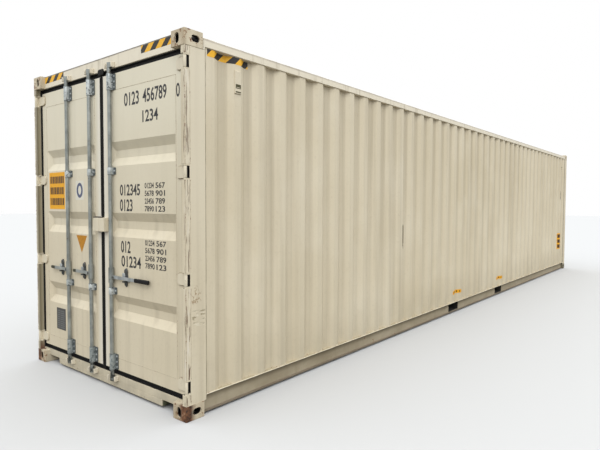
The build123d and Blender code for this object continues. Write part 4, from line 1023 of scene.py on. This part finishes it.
def retainer_fittings():
    """Round lobes and bolts on the leaf behind each handle, and a bright flap, partly a painted
    highlight, with a rivet.
    """
    lobe = [(0, 1.0), (0.004, 1.0), (0.007, 0.86)]
    flap = [(0, 1.0), (0.009, 1.0), (0.012, 0.88)]
    for name, node, spots in (
        ("left", "left_handle_retainers", (0.744, 0.326)),
        ("right", "right_handle_retainer", (-0.369,)),
    ):
        low, high = box_of(node)
        dark, bright = bmesh.new(), bmesh.new()
        for y in spots:
            for height, radius in ((high.z - 0.030, 0.024), (low.z + 0.026, 0.019)):
                add_stack(dark, front_spot(y, height, PLATE_FACE), ring_outline(radius, 24), lobe)
                add_bolt(dark, front_spot(y, height, PLATE_FACE - 0.006), 0.006)
            # Bright zinc on the flap: its own metal, partly a painted highlight.
            add_stack(bright, front_spot(y + 0.034, 1.018), box_outline(0.040, 0.034, 0.008), flap)
            add_rivet(bright, front_spot(y - 0.034, 0.975), 0.016)
        door = f"{name}_door"
        add_piece(f"{name}_retainer_lobes", dark, "dark_zinc", door, SMOOTH_TURNED)
        add_piece(f"{name}_retainer_flaps", bright, "bright_zinc", door, SMOOTH_TURNED)


def ribbed_grip():
    """Moulded sleeve with ribs, in place of the plain one."""
    low, high = box_of("handle_grip")
    middle = (low + high) / 2
    half = (high - low) / 2
    place = Matrix.Translation((middle.x, low.y, middle.z))
    spot = place @ Matrix.Rotation(-pi / 2, 4, "X")
    outline = box_outline(2 * half.x, 2 * half.z, half.x * 0.66, 6)
    length = high.y - low.y
    levels = [(0.0, 0.70), (0.002, 0.90), (0.006, 1.0), (0.010, 1.0), (0.012, 0.88)]
    ribs = 15
    step = (length - 0.034) / ribs
    rib_shape = ((0.0, 0.88), (0.25, 0.97), (0.65, 0.97), (0.9, 0.88))
    for rib in range(ribs):
        base = 0.014 + rib * step
        levels += [(base + share * step, scale) for share, scale in rib_shape]
    tail = ((0.018, 0.90), (0.015, 1.0), (0.004, 1.0), (0.0, 0.86))
    levels += [(length - inset, scale) for inset, scale in tail]
    bm = bmesh.new()
    add_stack(bm, spot, outline, levels)
    grip = add_piece("ribbed_grip", bm, "grip_rubber", "right_handle", 50)
    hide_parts("handle_grip")


def box_shadow_gap():
    """Painted shadow, a dark slab over the left half of the lock box, and the strip that closes
    its inner edge.
    """
    low, high = box_of("left_lock_box")
    bm = bmesh.new()
    spot = front_spot((low.y + high.y) / 2, high.z + 0.003, low.x + 0.022)
    outline = box_outline(high.y - low.y + 0.02, 0.014, 0.002)
    add_stack(bm, spot, outline, [(-0.02, 1.0), (0.016, 1.0)])
    add_piece("lock_box_shadow", bm, "box_shade", "left_door")
    bm = bmesh.new()
    spot = front_spot(low.y - 0.0024, (low.z + high.z) / 2, low.x + 0.006)
    add_slab(bm, spot, box_outline(0.0048, high.z - low.z - 0.002, 0.001), 0.0055, 0.001)
    add_piece("lock_box_strip", bm, "blade_paint", "left_door")


def seal_lips():
    """Outer lips of the door seals, flared forward along the posts' returns."""
    for name, side in DOORS:
        low, high = box_of(f"{name}_door_gasket")
        section = (
            (low.x, 1.156), (low.x, 1.161), (low.x - 0.0065, POST_RETURN - 0.0008),
            (low.x - 0.0072, POST_RETURN - 0.0035),
        )
        bm = bmesh.new()
        for stretch in between_hinges(low.z + 0.001, high.z - 0.001):
            add_solid(bm, [[bm.verts.new((x, side * y, z)) for x, y in section] for z in stretch])
        add_piece(f"{name}_seal_lip", bm, "seal_rubber", f"{name}_door")


def centre_lips():
    """Rubber lapping over the doors' inner edges, and its end over the header's edge."""
    low, high = box_of("left_lock_box")
    stretches = ((DOOR_LOW + 0.004, low.z - 0.012), (high.z + 0.016, DOOR_HIGH - 0.004))
    for name, side in DOORS:
        bm = bmesh.new()
        for start, end in stretches:
            spot = front_spot(side * 0.0225, (start + end) / 2)
            add_slab(bm, spot, box_outline(0.007, end - start, 0.002), 0.002, 0.001)
        add_piece(f"{name}_centre_lip", bm, "seal_rubber", f"{name}_door")
    bm = bmesh.new()
    spot = front_spot(-0.005, HEADER_LOW - 0.003, HEADER_FACE)
    add_slab(bm, spot, box_outline(0.096, 0.050, 0.018), 0.004, 0.001)
    add_piece("centre_seal_tab", bm, "seal_rubber", "left_door")


def recess_mouths():
    """Ends of the sill beside the two sling recesses, darkened as painted shade."""
    middle = (SILL_LOW[0] + SILL_HIGH[0]) / 2
    outline = box_outline(
        SILL_HIGH[0] - SILL_LOW[0] - 0.008, SILL_CUT - SILL_LOW[2] - 0.006, 0.002
    )
    bm = bmesh.new()
    for side in SIDES:
        spot = facing((middle, side * SILL_END, (SILL_LOW[2] + SILL_CUT) / 2), (0, side, 0))
        add_slab(bm, spot, outline)
    add_piece("recess_mouths", bm, "recess_shade")


def blade_loop(side, height, out):
    """Line on the door round the free end of a hinge blade."""
    half = BLADE_HALF + out
    turn = BLADE_ROUND + out
    y = BLADE_END - out + turn
    root = side * (DOOR_EDGE - 0.003)
    points = [(DOOR_FACE, root, height + half)]
    for z, start in ((height + half - turn, 90), (height - half + turn, 180)):
        for step in range(7):
            angle = radians(start + 15 * step)
            across = side * (y + turn * cos(angle))
            points.append((DOOR_FACE, across, z + turn * sin(angle)))
    return points + [(DOOR_FACE, root, height - half)]


def door_welds():
    """Beads round each door's sheet, its hinge blades and its half of the lock box."""
    near, far = PANEL_LOW[1], PANEL_HIGH[1]
    low, high = PANEL_LOW[2], PANEL_HIGH[2]
    loop = ((near, low), (far, low), (far, high), (near, high), (near, low))
    for name, side in DOORS:
        beads = [([(DOOR_FACE, side * y, z) for y, z in loop], 0.0016, 0.030)]
        for height in HINGES:
            beads.append((blade_loop(side, height, 0.002), 0.0038))
            beads.append((blade_loop(side, height, 0.009), 0.0014))
        add_welds(f"{name}_door_welds", beads, body=f"{name}_door")
        box = box_of(f"{name}_lock_box")
        outer, inner = sorted((box[0].y, box[1].y), key=lambda y: -side * y)
        line = ((outer, box[0].z), (outer, box[1].z), (inner, box[1].z))
        beads = [([(DOOR_FACE, y, z) for y, z in line], 0.003)]
        add_welds(f"{name}_lock_box_welds", beads, body=f"{name}_door")


def frame_welds():
    """Beads where posts, castings, header and sill meet."""
    front, sill = POST_FRONT, SILL_LOW[0]
    foot, head = CASTING[2], CASTING_LOW[2]
    beads = []
    for side in SIDES:
        corner, flank = side * (POST_SIDE - 0.0018), side * (POST_SIDE - 0.0012)
        inner, returned = side * CASTING_INNER, side * POST_RETURN
        for low, high in between_hinges(foot, head):
            beads.append((upright(front + 0.002, corner, low, high), 0.0034, 0.014, 0.35))
            beads.append((upright(front + 0.047, flank, low, high), 0.0026, 0.014, 0.35))
        for z in (foot, head):
            x = front + 0.0005
            line = [(x, returned, z), (x, flank, z), (-CASTING_END - 0.002, flank, z)]
            beads.append((line, 0.0032))
        beads += [
            (upright(HEADER_FACE, inner, HEADER_LOW, HEADER_LOW + 0.110), 0.003),
            (upright(sill, inner, 0.073, 0.117), 0.003),
            ([(sill, inner, foot), (sill, returned, foot)], 0.003),
        ]
    add_welds("frame_welds", beads)


def keeper_welds():
    """Beads beside the cam keepers on the header and the sill."""
    low, high = box_of("cam_keepers")
    feet = ((HEADER_FACE, high.z - KEEPER_HEIGHT), (SILL_LOW[0], low.z))
    add_welds("keeper_welds", [
        (upright(face, rod.y + side * KEEPER_HALF, foot, foot + KEEPER_HEIGHT), 0.003)
        for _, rod in RODS.values() for face, foot in feet for side in SIDES
    ])


def wall_welds():
    """Seams of the side walls at the rails, a pale bead along their feet, and a dark line of
    painted shade where each post meets its wall.
    """
    ends = (WALL_LOW[0] + 0.002, WALL_HIGH[0] - 0.002)
    seams = ((WALL_LOW[2] + 0.001, 0.0034), (WALL_HIGH[2] - 0.001, 0.0024))
    add_welds("wall_welds", [
        ([(x, side * (WALL_FACE - depth), z) for x, depth in wall_folds()], radius, 0.036, 0.25, 5)
        for side in SIDES for z, radius in seams
    ])
    add_welds("wall_foot_trim", [
        ([(x, side * (POST_SIDE - 0.0018), RAIL_TOP - 0.001) for x in ends], 0.0034, 0.06, 0.3)
        for side in SIDES
    ], "foot_trim")
    # Painted shade: a dark line in the groove where each post meets its wall.
    add_welds("post_groove_shades", [
        (upright(x, side * (WALL_FACE + 0.001), WALL_LOW[2], WALL_HIGH[2]), 0.005, 0.04)
        for side in SIDES for x in ends
    ], "groove_shade")


def blank_end_welds():
    """Beads where the blank end's posts meet their castings."""
    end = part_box("front_posts")[1][0]
    beads = []
    for side in SIDES:
        flank = side * (POST_SIDE - 0.0010)
        for z in (CASTING[2], CASTING_LOW[2]):
            back = [(end - 0.001, flank, z), (end - 0.0005, side * 1.10, z)]
            beads.append(([(CASTING_END + 0.002, flank, z), *back], 0.0032))
    add_welds("blank_end_welds", beads)


def roof_welds():
    """Seams round the roof sheet and between its plates, and the header's shaded edge."""
    low, high = box_of("roof_panel")
    skin = low.z + 0.002
    ends, inner = (-CASTING_END, CASTING_END), (-CASTING_INNER, CASTING_INNER)
    beads = [([(x, y, skin - 0.001) for x in ends], 0.003, 0.05) for y in (-high.y, high.y)]
    beads += [([(x, y, skin) for y in inner], 0.0025, 0.03) for x in ends]
    beads.append(([(low.x, -1.05, skin), (low.x, 1.05, skin)], 0.003, 0.03))
    add_welds("roof_welds", beads)
    edge = CASTING_INNER - 0.004
    line = [(HEADER_FACE + 0.003, y, HEADER_TOP + 0.001) for y in (-edge, edge)]
    add_welds("header_edge", [(line, 0.0042, 0.05, 0.1)], "edge_shade")


def vent_louvres():
    """Dark slabs of painted shade in the mouth near the foot of each vent cover, a small hood, and
    rivets beside it.
    """
    low, high = box_of("vents")
    slat_levels = [(-0.001, 1.0), (0.0009, 0.9)]
    shade_slabs, trims = bmesh.new(), bmesh.new()
    for side in SIDES:
        for x in (low.x + VENT_LENGTH / 2, high.x - VENT_LENGTH / 2):
            face = facing((x, side * high.y, low.z), (0, side, 0))
            for level, tall in ((0.058, 0.034), (0.014, 0.010)):
                mouth = face @ Matrix.Translation((0, level, 0))
                add_slab(shade_slabs, mouth, box_outline(0.058, tall, 0.002))
            slat = face @ Matrix.Translation((0, 0.050, 0))
            add_stack(trims, slat, box_outline(0.050, 0.004, 0.001), slat_levels)
            for level in (0.095, 0.168):
                add_rivet(trims, face @ Matrix.Translation((0, level, -0.0015)), 0.004)
    add_piece("vent_mouth_shades", shade_slabs, "vent_shade")
    add_piece("vent_trims", trims, "beige_paint")


def hinge_caps():
    """Domed heads on the hinge pins."""
    dome = [(0, 1.0), (0.0015, 1.0), (0.003, 0.7)]
    bm = bmesh.new()
    for side in SIDES:
        for height in HINGES:
            low, high = height - LUG_HALF, height + LUG_HALF
            for spot in end_spots(HINGE_PIN.x, side * HINGE_PIN.y, low, high):
                add_stack(bm, spot, ring_outline(0.0105, 18), dome)
    add_piece("hinge_pin_heads", bm, "dark_zinc", smooth=SMOOTH_TURNED)


def box_marks():
    """Hazard film on the header and the right wall, and plain yellow labels on the wall."""
    for name, left, right in (("left", 1.057, 0.674), ("right", -0.615, -1.057)):
        bm = bmesh.new()
        spot = front_spot((left + right) / 2, HEADER_TOP - 0.034, HEADER_FACE)
        add_slab(bm, spot, box_outline(left - right, 0.060, 0.003))
        add_piece(f"{name}_header_hazard", bm, "hazard_front")
    bm = bmesh.new()
    add_wall_film(bm, -5.875, -5.410, 2.740, 2.795)
    add_piece("right_wall_hazard", bm, "hazard_side")
    labels, bars = bmesh.new(), bmesh.new()
    for start in POCKET_LABELS:
        add_wall_film(labels, start, start + POCKET_LABEL_LENGTH, 0.278, 0.330)
        for step in range(5):
            left = start + 0.030 + step * 0.056
            add_wall_film(bars, left, left + 0.020, 0.292, 0.316)
    add_wall_film(labels, 5.250, 5.600, 0.535, 0.925)
    for row in range(3):
        low = 0.560 + row * 0.125
        add_wall_film(bars, 5.400, 5.580, low, low + 0.085)
    bmesh.ops.translate(bars, verts=bars.verts, vec=(0, -FILM, 0))
    add_piece("right_wall_labels", labels, "amber_film")
    add_piece("right_wall_label_bars", bars, "bar_print")


def plain_patch(name, finish, outline, y, z):
    bm = bmesh.new()
    add_slab(bm, front_spot(y, z), outline)
    add_piece(name, bm, finish, "left_door")


def left_door_marks():
    """Plain coloured patches and a bare data plate in the places of the real one's labels."""
    plain_patch("amber_patch", "amber_film", box_outline(*AMBER_SIZE, 0.004), *AMBER_PLACE)
    amber_bars()
    triangle = [(-0.098, 0.081), (0.0, -0.081), (0.098, 0.081)]
    plain_patch("ochre_triangle", "ochre_film", triangle, 0.3805, 1.246)
    plain_patch("white_patch", "white_film", box_outline(*WHITE_SIZE, 0.012), *WHITE_PLACE)
    blue_ring()
    data_plate()


def amber_bars():
    """Three rows of bars of uneven width on the amber patch."""
    bm = bmesh.new()
    for row in range(3):
        middle = AMBER_PLACE[1] + (1 - row) * 0.107
        y = 0.990
        while y > 0.715:
            width = random.choice((0.013, 0.019, 0.026))
            spot = front_spot(y - width / 2, middle, DOOR_FACE - FILM)
            add_slab(bm, spot, box_outline(width, 0.070, 0.001))
            y -= width + random.choice((0.007, 0.010))
    add_piece("amber_patch_bars", bm, "bar_print", "left_door")


def blue_ring():
    """Oval ring in two halves on the white patch."""
    spot = front_spot(*WHITE_PLACE, DOOR_FACE - FILM)
    steps = 36
    bm = bmesh.new()
    for half in (0, 1):
        arc = [pi * (half + k / steps) for k in range(steps + 1)]
        outline = [(0.056 * cos(a), 0.070 * sin(a)) for a in arc]
        outline += [(0.028 * cos(a), 0.042 * sin(a)) for a in reversed(arc)]
        add_slab(bm, spot, outline)
    add_piece("blue_ring", bm, "blue_print", "left_door")


def data_plate():
    """Bare plate with raised rows and a rivet in each corner."""
    (width, height), (y, z) = PLATE_SIZE, PLATE_PLACE
    face = DOOR_FACE - PLATE_THICKNESS
    inset = 0.010
    bm = bmesh.new()
    add_slab(bm, front_spot(y, z), box_outline(width, height, 0.006), PLATE_THICKNESS, 0.0004)
    add_piece("data_plate", bm, "plate_grey", "left_door")
    rows, rivets = bmesh.new(), bmesh.new()
    for row in range(9):
        low = z + height / 2 - 0.030 - row * 0.0205
        for left, wide in ((0.070, 0.050), (0.010, 0.078)):
            spot = front_spot(y + left - wide / 2, low, face)
            add_slab(rows, spot, box_outline(wide, 0.011, 0.001), 0.0003)
    for across in SIDES:
        for up in SIDES:
            right, top = across * (width / 2 - inset), up * (height / 2 - inset)
            add_rivet(rivets, front_spot(y + right, z + top, face), 0.0045)
    add_piece("data_plate_rows", rows, "plate_print", "left_door")
    add_piece("data_plate_rivets", rivets, "dark_zinc", "left_door")


def add_digits(bm, text, left, right, low, high):
    """Digits in thin paint, fitted to their edges on the door."""
    curve = bpy.data.curves.new("digits", "FONT")
    curve.body = text
    curve.resolution_u = 3
    curve.offset = 0.018
    curve.extrude = 0.1
    holder = bpy.data.objects.new("digits", curve)
    mesh = bpy.data.meshes.new_from_object(holder)
    places = [vertex.co.copy() for vertex in mesh.vertices]
    start = Vector([min(place[k] for place in places) for k in range(2)])
    end = Vector([max(place[k] for place in places) for k in range(2)])
    spot = front_spot(left, low)
    for vertex, place in zip(mesh.vertices, places):
        across = (place.x - start.x) / (end.x - start.x) * (left - right)
        up = (place.y - start.y) / (end.y - start.y) * (high - low)
        vertex.co = spot @ Vector((across, up, FILM if place.z > 0 else 0.0))
    bm.from_mesh(mesh)
    bpy.data.objects.remove(holder)
    bpy.data.meshes.remove(mesh)
    bpy.data.curves.remove(curve)


def right_door_marks():
    """Stencilled digits in the places of the real one's lettering."""
    bm = bmesh.new()
    for digits in DIGITS:
        add_digits(bm, *digits)
    for top, left, right in SMALL_BLOCKS:
        middle = (left + right) / 2
        for row, (first, second) in enumerate(SMALL_ROWS):
            low = top - SMALL_HEIGHT - SMALL_PITCH * row
            high = low + SMALL_HEIGHT
            add_digits(bm, first, left, middle + SMALL_GAP_HALF, low, high)
            add_digits(bm, second, middle - SMALL_GAP_HALF, right, low, high)
    add_piece("right_door_digits", bm, "stencil_black", "right_door")


make_camera()
make_sky()
make_sun()
make_floor()
make_finishes()
paint_nodes()
soften_edges()
rod_fittings()
retainer_fittings()
ribbed_grip()
box_shadow_gap()
seal_lips()
centre_lips()
recess_mouths()
door_welds()
frame_welds()
keeper_welds()
wall_welds()
blank_end_welds()
roof_welds()
vent_louvres()
hinge_caps()
box_marks()
left_door_marks()
right_door_marks()
